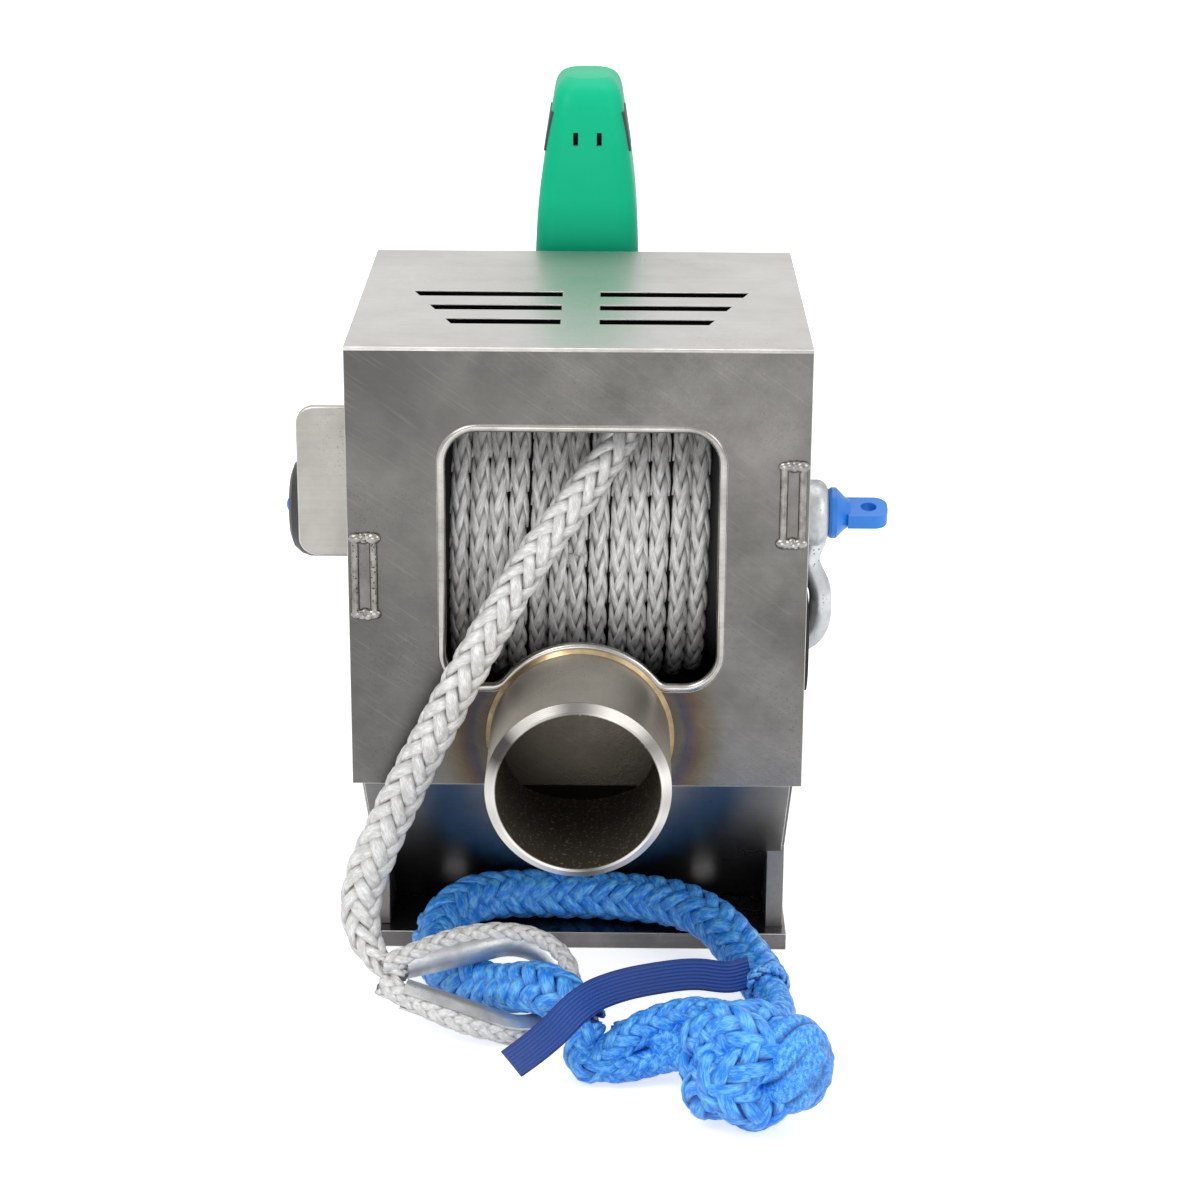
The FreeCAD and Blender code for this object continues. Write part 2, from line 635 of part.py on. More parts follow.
def guard_plate():
    x0 = -GUARD_X
    x1 = -SIDE_OUT
    plate = box(x0, x1, GUARD_Y, GUARD_Y + GUARD_T, *GUARD_Z)
    corners = [e for e in plate.Edges
               if abs(e.tangentAt(0).y) > 0.9 and abs(e.CenterOfMass.x - x0) < 0.1]
    return plate.makeFillet(GUARD_R, corners)


# ---------------------------------------------------------------- bow shackle
def shackle_bow():
    """Forged bow, thin at its necks, lofted through round sections, with two domed eyes."""
    left = [(-dx, z, r) for dx, z, r in BOW_STATIONS]
    stations = left + [BOW_LOW] + [(-dx, z, r) for dx, z, r in reversed(left)]
    centres = [V(JAW_X + dx, PIN_Y, z) for dx, z, r in stations]
    curve = Part.BSplineCurve()
    curve.interpolate(centres)
    rings = []
    for centre, (_, _, r) in zip(centres, stations):
        way = curve.tangent(curve.parameter(centre))[0]
        rings.append(Part.Wire(Part.makeCircle(r, centre, way)))
    bow = Part.makeLoft(rings, True, False)
    for side in (-1, 1):
        x = JAW_X + side * JAW / 2
        eye = rod(EYE_R, V(x, PIN_Y, PIN_Z), V(side, 0, 0), EYE_T)
        outer = [e for e in eye.Edges if len(e.Vertexes) == 1
                 and abs(e.CenterOfMass.x - x) > EYE_T / 2]
        eye = eye.makeFillet(5.0, outer)
        bow = bow.fuse(eye)
    jaw = box(JAW_X - JAW / 2, JAW_X + JAW / 2, PIN_Y - 30, PIN_Y + 30,
              PIN_Z - EYE_R - 1, PIN_Z + 30)
    hole = rod(PIN_R + SEAT_GAP, V(JAW_X - 40, PIN_Y, PIN_Z), V(1, 0, 0), 80)
    return bow.cut(jaw).cut(hole)


def shackle_pin():
    """Screw pin: shank, collar, waisted neck and a flat flag with a hole."""
    inner = JAW_X - JAW / 2 - EYE_T - 3
    x = JAW_X + JAW / 2 + EYE_T
    profile = [(0, inner), (PIN_R - 1, inner), (PIN_R, inner + 1), (PIN_R, x + 0.2),
               (COLLAR_R - 0.8, x + 0.2), (COLLAR_R, x + 1.4), (COLLAR_R, x + 3.6),
               (COLLAR_R - 1.6, x + 5.2), (7.4, x + 7.4), (6.0, x + 9.6), (0, x + 9.6)]
    pin = spun(profile, V(0, PIN_Y, PIN_Z), V(1, 0, 0))
    flag = box(x + 8.7, PIN_END_X, PIN_Y - FLAG_HALF, PIN_Y + FLAG_HALF,
               PIN_Z - FLAG_T / 2, PIN_Z + FLAG_T / 2)
    upright = [e for e in flag.Edges if abs(e.tangentAt(0).z) > 0.9]
    ends = [e for e in upright if e.CenterOfMass.x > PIN_END_X - 1]
    flag = flag.makeFillet(6.0, ends)
    hole = rod(FLAG_HOLE_R, V(PIN_END_X - FLAG_HALF - 0.4, PIN_Y, PIN_Z - 10), V(0, 0, 1), 20)
    flag = flag.cut(hole)
    flag.rotate(V(0, PIN_Y, PIN_Z), V(1, 0, 0), FLAG_TURN)
    return pin.fuse(flag)


# ---------------------------------------------------------------- loose rigging
# the spliced rope from the top of the winding, over the window's lower left corner
ROPE_TAIL = [
    (31, -60, 274), (27, -71, 267), (21, -82, 257), (12, -92, 244), (1, -100, 231),
    (-12, -109, 216), (-25, -118, 199), (-37, -127, 179), (-51, -134, 155),
    (-62, -134, 133), (-73, -133, 111), (-83, -133, 89), (-91, -134, 71),
    (-95.5, -137, 57), (-96, -142, 45), (-92, -148, 36), (-85.5, -153.5, 30),
]
# the soft shackle's cover, from its mouth over the base plate's ledge and through the thimble
SOFT_LOOP = [
    (86, -141, 13), (82, -124, 13), (75, -107, 16), (64, -89, 22), (49, -74, 23),
    (30, -63, 21), (9, -58.5, 20.5), (-13, -58, 20.5), (-33, -59, 21), (-51, -68, 22.5),
    (-63, -84, 19), (-66, -103, 12.5), (-60, -121, 11.5), (-48, -134, 11.6), (-36.5, -145.5, 13.2),
    (-24.5, -160, 22.2), (-14, -174, 29.3), (-3, -186.5, 29), (7, -195, 23),
]
# the bare eye of the soft shackle, from the cover's end round to the knot's stem
SOFT_EYE = [
    (7, -195, 23), (14, -200.6, 19.5), (15, -210, 12.5), (12, -220, 8), (16, -231, 7.4),
    (27, -233, 9), (36, -226, 14), (43, -215, 20), (52, -204, 22.5), (61, -195, 21),
    (70, -189, 20), (77, -187.5, 19.3),
]
SOFT_STEM = [
    (86, -141, 13), (89, -153.8, 13), (90, -168, 15.5), (88, -183, 19), (85, -198, 22.5),
    (79.3, -214.2, 25.4),
]
RIBBON = [
    (78, -139, 20), (72, -147.5, 22), (66, -153, 24), (53, -159, 29), (36, -174, 34),
    (19, -198, 42), (4, -220, 46), (-11.5, -226, 30), (-26.3, -211, 11),
]


def thimble_line():
    """Centre line of the rope in the thimble's groove, in the thimble's own plane."""
    a = math.radians(THIMBLE_JOIN)
    r = THIMBLE_END_R
    join = V(THIMBLE_END_U + r * math.cos(a), r * math.sin(a), 0)
    tip = V(THIMBLE_TIP_U, THIMBLE_TIP_W, 0)
    chord = tip - join
    heading = a + math.pi / 2
    off = math.atan2(chord.y, chord.x) % (2 * math.pi) - heading
    leg_r = chord.Length / (2 * math.sin(off))
    to_centre = V(-math.sin(heading), math.cos(heading), 0) * leg_r
    centre = join + to_centre
    mid = centre - V(-math.sin(heading + off), math.cos(heading + off), 0) * leg_r

    def flip(p):
        return V(p.x, -p.y, 0)

    return Part.Wire([
        Part.Arc(tip, mid, join).toShape(),
        Part.Arc(join, V(THIMBLE_END_U + r, 0, 0), flip(join)).toShape(),
        Part.Arc(flip(join), flip(mid), flip(tip)).toShape(),
    ])


def in_thimble_place(shape):
    turn = FreeCAD.Rotation(V(0, 0, 1), THIMBLE_YAW)
    turn = turn * FreeCAD.Rotation(V(0, 1, 0), THIMBLE_PITCH)
    turn = turn * FreeCAD.Rotation(V(1, 0, 0), THIMBLE_TILT)
    shape.Placement = FreeCAD.Placement(THIMBLE_AT, turn)
    return shape


def thimble():
    """Galvanised trough bent round a teardrop."""
    line = thimble_line()
    first = line.Edges[0]
    start = first.valueAt(first.FirstParameter)
    along = first.tangentAt(first.FirstParameter)
    out = V(-along.y, along.x, 0)
    up = V(0, 0, 1)
    r_in = THIMBLE_ROPE_R + FIT
    r_out = r_in + THIMBLE_WALL

    def at(o, n):
        return start + out * o + up * n

    edges = [
        Part.makeLine(at(THIMBLE_LIP, r_in), at(0, r_in)),
        Part.Arc(at(0, r_in), at(-r_in, 0), at(0, -r_in)).toShape(),
        Part.makeLine(at(0, -r_in), at(THIMBLE_LIP, -r_in)),
        Part.makeLine(at(THIMBLE_LIP, -r_in), at(THIMBLE_LIP, -r_out)),
        Part.makeLine(at(THIMBLE_LIP, -r_out), at(0, -r_out)),
        Part.Arc(at(0, -r_out), at(-r_out, 0), at(0, r_out)).toShape(),
        Part.makeLine(at(0, r_out), at(THIMBLE_LIP, r_out)),
        Part.makeLine(at(THIMBLE_LIP, r_out), at(THIMBLE_LIP, r_in)),
    ]
    trough = line.makePipeShell([Part.Wire(edges)], True, False)
    return in_thimble_place(trough)


def rope_eye():
    """The rope's eye in the groove, its ends drawn together at the throat."""
    edges = thimble_line().Edges
    first = edges[0]
    tip = first.valueAt(first.FirstParameter)
    along = first.tangentAt(first.FirstParameter)
    start = tip - along * EYE_STUB
    mirrored = V(start.x, -start.y, 0), V(tip.x, -tip.y, 0)
    line = Part.Wire([Part.makeLine(start, tip)] + edges + [Part.makeLine(mirrored[1], mirrored[0])])
    ring = Part.Wire(Part.makeCircle(THIMBLE_ROPE_R, start, along))
    return in_thimble_place(line.makePipeShell([ring], True, False))


def soft_knot():
    """Diamond knot: a large lobe with a smaller melted end, turned about their common axis."""
    along = KNOT_END_AT - KNOT_AT
    gap = along.Length
    u = along.normalize()
    v = u.cross(V(0, 0, 1)).normalize()
    meet = (gap ** 2 + KNOT_R ** 2 - KNOT_END_R ** 2) / (2 * gap)
    waist = KNOT_AT + u * meet + v * math.sqrt(KNOT_R ** 2 - meet ** 2)
    start = KNOT_AT - u * KNOT_R
    end = KNOT_END_AT + u * KNOT_END_R
    big = Part.Arc(start, KNOT_AT + v * KNOT_R, waist).toShape()
    small = Part.Arc(waist, KNOT_END_AT + v * KNOT_END_R, end).toShape()
    half = Part.Face(Part.Wire([big, small, Part.makeLine(end, start)]))
    return half.revolve(KNOT_AT, u, 360)


def ribbon():
    """Woven tape, as short sections lofted along its way."""
    pts = [V(*p) for p in RIBBON]
    view = V(0, -0.93, 0.36)
    rings = []
    for i, p in enumerate(pts):
        along = (pts[min(i + 1, len(pts) - 1)] - pts[max(i - 1, 0)]).normalize()
        normal = (view - along * view.dot(along)).normalize()
        across = along.cross(normal)
        a = across * RIBBON_W / 2
        t = normal * RIBBON_T / 2
        rings.append(Part.makePolygon([p - a - t, p + a - t, p + a + t, p - a + t, p - a - t]))
    return Part.makeLoft(rings, True, True)


PIECES = [
    (base_plate, "base_plate"),
    (lambda: side_blank(-SIDE_IN, -SIDE_OUT, TAB_LEFT_Z), "side_plate_left"),
    (side_plate_right, "side_plate_right"),
    (front_plate, "front_plate"),
    (window_rim, "window_rim"),
    (top_plate, "top_plate"),
    (apron_plate, "apron_plate"),
    (rear_plate, "rear_plate"),
    (rope_pipe, "rope_pipe"),
    (pipe_weld, "pipe_weld"),
    (lambda: tab_weld(-1, TAB_LEFT_Z), "tab_weld_left"),
    (lambda: tab_weld(1, TAB_RIGHT_Z), "tab_weld_right"),
    (corner_weld, "corner_weld"),
    (lambda: bearing(-1), "bearing_left"),
    (lambda: bearing(1), "bearing_right"),
    (gear_case, "gear_case"),
    (guard_plate, "guard_plate"),
    (hand_hole_trim, "hand_hole_trim"),
    (motor_flange, "motor_flange"),
    (motor_body, "motor_body"),
    (motor_hood, "motor_hood"),
    (lambda: hood_grip(-1), "hood_grip_left"),
    (lambda: hood_grip(1), "hood_grip_right"),
    (shackle_bow, "shackle_bow"),
    (shackle_pin, "shackle_pin"),
    (lambda: tube(ROPE_TAIL, TAIL_R, "rope_tail"), "rope_tail"),
    (rope_eye, "rope_eye"),
    (thimble, "thimble"),
    (lambda: tube(SOFT_LOOP, SHACKLE_ROPE_R, "soft_shackle_loop"), "soft_shackle_loop"),
    (lambda: tube(SOFT_EYE, SOFT_EYE_R, "soft_shackle_eye"), "soft_shackle_eye"),
    (lambda: tube(SOFT_STEM, SOFT_STEM_R, "soft_shackle_stem"), "soft_shackle_stem"),
    (soft_knot, "soft_shackle_knot"),
    (ribbon, "tag_ribbon"),
]

for make, node in PIECES:
    save(make(), node)
drum_pieces()
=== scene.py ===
import math

import bpy
import bmesh
import numpy as np
from mathutils import Matrix, Vector


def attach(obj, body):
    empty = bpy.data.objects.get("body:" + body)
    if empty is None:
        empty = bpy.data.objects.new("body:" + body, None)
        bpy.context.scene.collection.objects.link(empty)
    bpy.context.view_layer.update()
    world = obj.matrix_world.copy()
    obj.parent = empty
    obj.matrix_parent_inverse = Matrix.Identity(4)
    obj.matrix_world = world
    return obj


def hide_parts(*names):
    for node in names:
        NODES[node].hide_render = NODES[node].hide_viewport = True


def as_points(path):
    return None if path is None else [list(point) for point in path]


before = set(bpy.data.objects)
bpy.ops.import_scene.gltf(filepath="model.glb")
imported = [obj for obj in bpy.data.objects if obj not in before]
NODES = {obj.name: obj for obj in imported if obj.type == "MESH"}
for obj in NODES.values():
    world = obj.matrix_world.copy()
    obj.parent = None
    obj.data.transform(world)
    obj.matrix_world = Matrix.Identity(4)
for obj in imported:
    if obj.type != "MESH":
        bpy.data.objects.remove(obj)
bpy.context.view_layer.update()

MM = 0.001


def linked(name, data):
    """A new object of the scene that shows the data."""
    obj = bpy.data.objects.new(name, data)
    bpy.context.scene.collection.objects.link(obj)
    return obj


# ---------------------------------------------------------------- camera
CAMERA_AT = (0.016, -1.344, 0.610)
CAMERA_TURN, CAMERA_DOWN, CAMERA_ROLL = 0.292, 18.97, 0.35      # degrees
CAMERA_LENS = 89.07


def set_camera():
    """Standing in front of the winch, a little above it."""
    lens = bpy.data.cameras.new("camera")
    lens.lens = CAMERA_LENS
    lens.sensor_width = 36
    lens.clip_start = 0.01
    camera = linked("camera", lens)
    turn = Matrix.Rotation(math.radians(CAMERA_TURN), 3, "Z")
    tilt = Matrix.Rotation(math.radians(90 - CAMERA_DOWN), 3, "X")
    roll = Matrix.Rotation(math.radians(CAMERA_ROLL), 3, "Z")
    camera.location = CAMERA_AT
    camera.rotation_euler = (turn @ tilt @ roll).to_euler()
    bpy.context.scene.camera = camera


set_camera()


# ---------------------------------------------------------------- helpers
def pick_only(obj):
    """Deselects everything and makes obj the one that operators work on."""
    for other in bpy.context.selected_objects:
        other.select_set(False)
    obj.select_set(True)
    bpy.context.view_layer.objects.active = obj


def use(obj, kind, **settings):
    """Adds a modifier and applies it at once."""
    modifier = obj.modifiers.new(kind, kind)
    for key, value in settings.items():
        setattr(modifier, key, value)
    pick_only(obj)
    bpy.ops.object.modifier_apply(modifier=modifier.name)


def piece_of(name, points, faces, material):
    """Smooth mesh object made from its points and faces."""
    mesh = bpy.data.meshes.new(name)
    mesh.from_pydata([tuple(p) for p in points], [], faces)
    mesh.update()
    mesh.materials.append(material)
    mesh.polygons.foreach_set("use_smooth", [True] * len(mesh.polygons))
    return linked(name, mesh)


def finished_as(obj, body, slot, *nodes):
    """Rides a piece on its body and hides the nodes it stands for; slot is not used."""
    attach(obj, body)
    if nodes:
        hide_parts(*nodes)
    return obj


def wire(tree, inputs, sockets):
    """Sets inputs to constants, or links them where the value is another node's socket."""
    for key, value in sockets.items():
        if isinstance(value, bpy.types.NodeSocket):
            tree.links.new(value, inputs[key])
        else:
            inputs[key].default_value = value


def put(tree, kind, sockets=None, **settings):
    """Adds a shader node with its settings and inputs."""
    node = tree.nodes.new("ShaderNode" + kind)
    for key, value in settings.items():
        setattr(node, key, value)
    wire(tree, node.inputs, sockets or {})
    return node


def ramp(tree, fac, stops):
    """Colours along a value; each stop is a position and its colour."""
    node = put(tree, "ValToRGB", {0: fac})
    marks = node.color_ramp.elements
    while len(marks) < len(stops):
        marks.new(0.5)
    for mark, (at, colour) in zip(marks, stops):
        mark.position = at
        mark.color = (*colour, 1)
    return node.outputs["Color"]


def between(tree, fac, low, high, to_low=0.0, to_high=1.0):
    """fac taken from the range low to high to another one, and held inside it."""
    node = put(tree, "MapRange", {"Value": fac, "From Min": low, "From Max": high,
                                  "To Min": to_low, "To Max": to_high})
    return node.outputs["Result"]


def maths(tree, how, a, b=0):
    return put(tree, "Math", {0: a, 1: b}, operation=how).outputs[0]


def plus(tree, a, b):
    return maths(tree, "ADD", a, b)


def minus(tree, a, b):
    return maths(tree, "SUBTRACT", a, b)


def times(tree, a, b):
    return maths(tree, "MULTIPLY", a, b)


def vector(tree, how, a, b=(0, 0, 0), out="Vector"):
    return put(tree, "VectorMath", {0: a, 1: b}, operation=how).outputs[out]


def noise(tree, at, scale, detail, **settings):
    """Noise at a place; further inputs are given by their names."""
    inputs = {"Vector": at, "Scale": scale, "Detail": detail, **settings}
    return put(tree, "TexNoise", inputs).outputs[0]


def split(tree, at):
    return put(tree, "SeparateXYZ", {0: at}).outputs


def mixed(tree, fac, a, b, how="MIX"):
    node = put(tree, "Mix", data_type="RGBA", blend_type=how)
    inputs = {socket.identifier: socket for socket in node.inputs}
    wire(tree, inputs, {"Factor_Float": fac, "A_Color": a, "B_Color": b})
    return next(s for s in node.outputs if s.identifier == "Result_Color")


def new_group(name, takes, gives):
    """Empty shader node group, with the sockets that bring its inputs and take its
    outputs; takes and gives are their labels and kinds."""
    tree = bpy.data.node_groups.new(name, "ShaderNodeTree")
    for way, labels in (("INPUT", takes), ("OUTPUT", gives)):
        for label, kind in labels.items():
            tree.interface.new_socket(label, in_out=way, socket_type="NodeSocket" + kind)
    source = tree.nodes.new("NodeGroupInput").outputs
    result = tree.nodes.new("NodeGroupOutput").inputs
    return tree, source, result


def placed(tree, group, sockets):
    """Puts a node group into a tree and returns its outputs."""
    node = put(tree, "Group", node_tree=group)
    wire(tree, node.inputs, sockets)
    return node.outputs


def new_material(name, **plain):
    """Material with a Principled shader; plain are its own constant sockets."""
    material = bpy.data.materials.new(name)
    material.use_nodes = True
    tree = material.node_tree
    tree.nodes.clear()
    shader = put(tree, "BsdfPrincipled")
    output = put(tree, "OutputMaterial")
    tree.links.new(shader.outputs[0], output.inputs["Surface"])
    for key, value in plain.items():
        shader.inputs[key.replace("_", " ")].default_value = value
    where = put(tree, "TexCoord").outputs
    return material, tree, shader, where


def feed(tree, shader, colour, rough=None, height=None, lift=0.0002):
    """Wires a finish into the shader; lift is how high its bumps stand."""
    bump = put(tree, "Bump", {"Distance": lift, "Height": height})
    wire(tree, shader.inputs, {"Base Color": colour, "Normal": bump.outputs[0]})
    if rough is not None:
        wire(tree, shader.inputs, {"Roughness": rough})


def inside_box(tree, at, *limits):
    """1 inside a box given by its low and high limits along X, Y and Z, 0 outside."""
    flat = split(tree, at)
    mask = 1.0
    for axis, (low, high) in zip("XYZ", limits):
        mask = times(tree, mask, maths(tree, "GREATER_THAN", flat[axis], low))
        mask = times(tree, mask, maths(tree, "LESS_THAN", flat[axis], high))
    return mask


def dress(node, material):
    """Gives a CAD node its finish."""
    for place in NODES[node].material_slots:
        place.material = material


# ---------------------------------------------------------------- finishes
FINISH = {"Color": "Color", "Roughness": "Float", "Height": "Float"}


def make_steel_group():
    """Rolled plate: clouds, drawn lines along one way, and pits in clusters."""
    tree, take, give = new_group(
        "rolled_steel",
        {"Vector": "Vector", "Dark": "Color", "Light": "Color", "Cloud": "Float",
         "Lines": "Float", "Pits": "Float", "Rough": "Float"}, FINISH)
    at = take["Vector"]
    cloud = noise(tree, at, take["Cloud"], 6.0, Roughness=0.62)
    blotch = noise(tree, at, 47.0, 5.0, Roughness=0.7)
    drawn = vector(tree, "MULTIPLY", at, (9.0, 700.0, 700.0))
    lines = noise(tree, drawn, 1.0, 4.0, Roughness=0.65)
    clusters = between(tree, noise(tree, at, 16.0, 2.0), 0.5, 0.68)
    dots = put(tree, "TexVoronoi", {"Vector": at, "Scale": 640.0}).outputs["Distance"]
    pits = times(tree, between(tree, dots, 0.26, 0.14), clusters)
    pits = times(tree, pits, take["Pits"])
    tone = plus(tree, times(tree, between(tree, cloud, 0.32, 0.68), 0.7),
                times(tree, between(tree, blotch, 0.3, 0.7), 0.3))
    tone = plus(tree, tone, times(tree, minus(tree, lines, 0.5), take["Lines"]))
    colour = mixed(tree, tone, take["Dark"], take["Light"])
    colour = mixed(tree, pits, colour, (0.02, 0.018, 0.016, 1))
    rough = plus(tree, take["Rough"], times(tree, minus(tree, 0.5, tone), 0.16))
    rough = plus(tree, rough, times(tree, pits, 0.4))
    height = minus(tree, times(tree, lines, take["Lines"]), pits)
    wire(tree, give, {"Color": colour, "Roughness": rough, "Height": height})
    return tree


def from_pipe(tree, at, centre):
    """The way from the rope pipe's axis to a place, square to that axis."""
    return vector(tree, "MULTIPLY", vector(tree, "SUBTRACT", at, centre), (1, 0, 1))


def make_heat_group():
    """Straw to blue colours left on steel by a weld: by distance from a round joint."""
    tree, take, give = new_group(
        "heat_tint",
        {"Vector": "Vector", "Centre": "Vector", "Radius": "Float", "Reach": "Float",
         "Color": "Color"}, {"Color": "Color"})
    away = from_pipe(tree, take["Vector"], take["Centre"])
    far = vector(tree, "LENGTH", away, out="Value")
    wander = noise(tree, take["Vector"], 60.0, 3.0)
    far = plus(tree, far, between(tree, wander, 0.0, 1.0, -0.003, 0.003))
    far = maths(tree, "DIVIDE", minus(tree, far, take["Radius"]), take["Reach"])
    tint = ramp(tree, far, [(0.0, (0.46, 0.40, 0.30)), (0.12, (0.16, 0.20, 0.34)),
                            (0.24, (0.34, 0.20, 0.26)), (0.42, (0.62, 0.40, 0.16)),
                            (0.7, (0.75, 0.62, 0.36)), (1.0, (1, 1, 1))])
    fade = between(tree, far, 0.35, 1.0, 0.75, 0.0)
    wire(tree, give, {"Color": mixed(tree, fade, take["Color"], tint, "MULTIPLY")})
    return tree


def make_fibre_group():
    """Braided yarn: streaks along the strand with a painted highlight, and painted shade
    where a strand goes under.
    """
    tree, take, give = new_group(
        "braid_fibres",
        {"Strand": "Vector", "Lift": "Float", "Painted_Shade": "Color", "Body": "Color",
         "Top": "Color", "Fuzz": "Float"}, FINISH)
    along = vector(tree, "MULTIPLY", take["Strand"], (16.0, 5.0, 1.0))
    yarns = noise(tree, along, 1.0, 5.0, Roughness=0.7)
    coarse = vector(tree, "MULTIPLY", take["Strand"], (4.0, 2.5, 1.0))
    patches = noise(tree, coarse, 1.0, 3.0)
    tone = plus(tree, times(tree, between(tree, yarns, 0.3, 0.7), 0.55),
                times(tree, between(tree, patches, 0.3, 0.7), 0.45))
    # The top colour is lighter fibre streaks and a painted highlight, laid where the yarn
    # noise is high.
    colour = mixed(tree, between(tree, tone, 0.36, 0.82), take["Body"], take["Top"])
    # Painted shade: where the lift is low, between strands and on their inner sides, the
    # colour goes to the under colour.
    shade = between(tree, take["Lift"], 0.16, 0.66, 1.0, 0.0)
    wire(tree, give, {"Color": mixed(tree, shade, colour, take["Painted_Shade"]),
                      "Roughness": between(tree, tone, 0.0, 1.0, 0.40, 0.24),
                      "Height": times(tree, yarns, take["Fuzz"])})
    return tree


def make_grain_group():
    """Moulded plastic or rubber: fine grain, scuffs and dust."""
    tree, take, give = new_group(
        "moulded_grain",
        {"Vector": "Vector", "Base": "Color", "Scuff": "Color", "Scale": "Float",
         "Wear": "Float", "Rough": "Float"}, FINISH)
    grain = noise(tree, take["Vector"], take["Scale"], 3.0)
    soft = noise(tree, take["Vector"], 22.0, 5.0, Roughness=0.6)
    scuff = times(tree, between(tree, soft, 0.52, 0.75), take["Wear"])
    rough = plus(tree, take["Rough"], between(tree, soft, 0.3, 0.7, -0.05, 0.09))
    wire(tree, give, {"Color": mixed(tree, scuff, take["Base"], take["Scuff"]),
                      "Roughness": rough, "Height": grain})
    return tree


def make_zinc_group():
    """Hot dip galvanising: dull spangles, soft lumps and a few dark specks."""
    tree, take, give = new_group(
        "zinc_coat", {"Vector": "Vector", "Pale": "Color", "Dull": "Color"}, FINISH)
    at = take["Vector"]
    lumps = noise(tree, at, 240.0, 4.0, Roughness=0.6)
    wide = noise(tree, at, 70.0, 3.0)
    specks = put(tree, "TexVoronoi", {"Vector": at, "Scale": 420.0}).outputs["Distance"]
    specks = times(tree, between(tree, specks, 0.22, 0.1), between(tree, wide, 0.5, 0.65))
    tone = plus(tree, times(tree, between(tree, lumps, 0.3, 0.7), 0.4),
                times(tree, between(tree, wide, 0.35, 0.65), 0.6))
    colour = mixed(tree, tone, take["Dull"], take["Pale"])
    wire(tree, give, {"Color": mixed(tree, specks, colour, (0.12, 0.11, 0.10, 1)),
                      "Roughness": between(tree, tone, 0.0, 1.0, 0.55, 0.34),
                      "Height": plus(tree, lumps, wide)})
    return tree


STEEL = make_steel_group()
HEAT = make_heat_group()
FIBRES = make_fibre_group()
GRAIN = make_grain_group()
ZINC = make_zinc_group()
PIPE_AT = (0.0013, 0.0, 0.1252)     # a point on the rope pipe's axis
PIPE_BORE_R = 0.0356                # the bore's painted shade ends just inside it
ALONG_Y = (0, 0, math.pi / 2)       # lays the drawn lines, which run along X, along Y
# Painted shade for the inside of the top plate's vent slots.
SLOT_SHADE = (0.006, 0.006, 0.006, 1)


def shaded_worn_front(tree, at, colour, height, shade):
    """Front plate: painted shade to the left and the top, faint slanted scratches, fine
    peel.
    """
    flat = split(tree, at)
    slow = noise(tree, at, 11.0, 3.0, Distortion=0.6)
    # Painted shade: darker towards the plate's left side and its top.
    left = between(tree, flat["X"], -0.10, 0.05, 0.42, 0.0)
    high = between(tree, flat["Z"], 0.235, 0.30, 0.0, 0.18)
    dim = plus(tree, plus(tree, left, high), between(tree, slow, 0.35, 0.65, 0.32, -0.12))
    colour = mixed(tree, between(tree, dim, 0.0, 1.0), colour, (*shade, 1))
    slant = put(tree, "Mapping", {"Vector": at, "Rotation": (0, -0.6, 0)}).outputs[0]
    scratch = noise(tree, vector(tree, "MULTIPLY", slant, (45.0, 45.0, 1100.0)), 1.0, 2.0)
    scratch = between(tree, scratch, 0.58, 0.78, 0.0, 0.08)
    colour = mixed(tree, scratch, colour, (0.42, 0.41, 0.39, 1))
    peel = noise(tree, at, 620.0, 2.0, Distortion=0.8)
    peel = times(tree, peel, between(tree, slow, 0.44, 0.58, 0.15, 2.2))
    return colour, plus(tree, height, peel)


def steel(name, dark, light, cloud=9.0, lines=0.5, pits=0.5, rough=0.4, turn=None,
          heat=None, shade=None, vents=None, lift=0.00004):
    """Plate steel. heat is the radius and reach of a weld's tint round the rope pipe,
    shade the colour of painted shade on a front's left and top, vents the box of slots
    painted black as shade."""
    material, tree, shader, where = new_material(name, Metallic=1.0)
    at = here = where["Object"]
    if turn:
        at = put(tree, "Mapping", {"Vector": at, "Rotation": turn}).outputs[0]
    made = placed(tree, STEEL, {"Vector": at, "Dark": (*dark, 1), "Light": (*light, 1),
                                "Cloud": cloud, "Lines": lines, "Pits": pits,
                                "Rough": rough})
    colour, height = made["Color"], made["Height"]
    if shade:
        colour, height = shaded_worn_front(tree, here, colour, height, shade)
    # Painted shade: the box round the vent slots goes near black.
    if vents:
        colour = mixed(tree, inside_box(tree, here, *vents), colour, SLOT_SHADE)
    if heat:
        radius, reach = heat
        colour = placed(tree, HEAT, {"Vector": here, "Centre": PIPE_AT, "Radius": radius,
                                     "Reach": reach, "Color": colour})["Color"]
    feed(tree, shader, colour, made["Roughness"], height, lift)
    return material


def plastic(name, base, scuff, scale=900.0, wear=0.3, rough=0.4, shaded_recesses=(), shaded_foot=None,
            **plain):
    """Moulded finish; foot is the height range over which painted shade darkens it,
    recesses get a painted black shade.
    """
    material, tree, shader, where = new_material(name, **plain)
    at = where["Object"]
    made = placed(tree, GRAIN, {"Vector": at, "Base": (*base, 1), "Scuff": (*scuff, 1),
                                "Scale": scale, "Wear": wear, "Rough": rough})
    colour = made["Color"]
    # Painted shade: darker towards the foot of the hood and on faces seen edge-on.
    if shaded_foot:
        side = put(tree, "LayerWeight", {"Blend": 0.18}).outputs["Facing"]
        dim = maths(tree, "MAXIMUM", between(tree, split(tree, at)["Z"], *shaded_foot, 0.42, 0.0),
                    between(tree, side, 0.45, 0.95, 0.0, 0.35))
        colour = mixed(tree, dim, colour, (0.0, 0.10, 0.07, 1))
    # Painted shade: the strap slots' recesses go near black.
    for limits in shaded_recesses:
        colour = mixed(tree, inside_box(tree, at, *limits), colour, (0.004, 0.012, 0.01, 1))
    feed(tree, shader, colour, made["Roughness"], made["Height"], lift=0.00003)
    return material


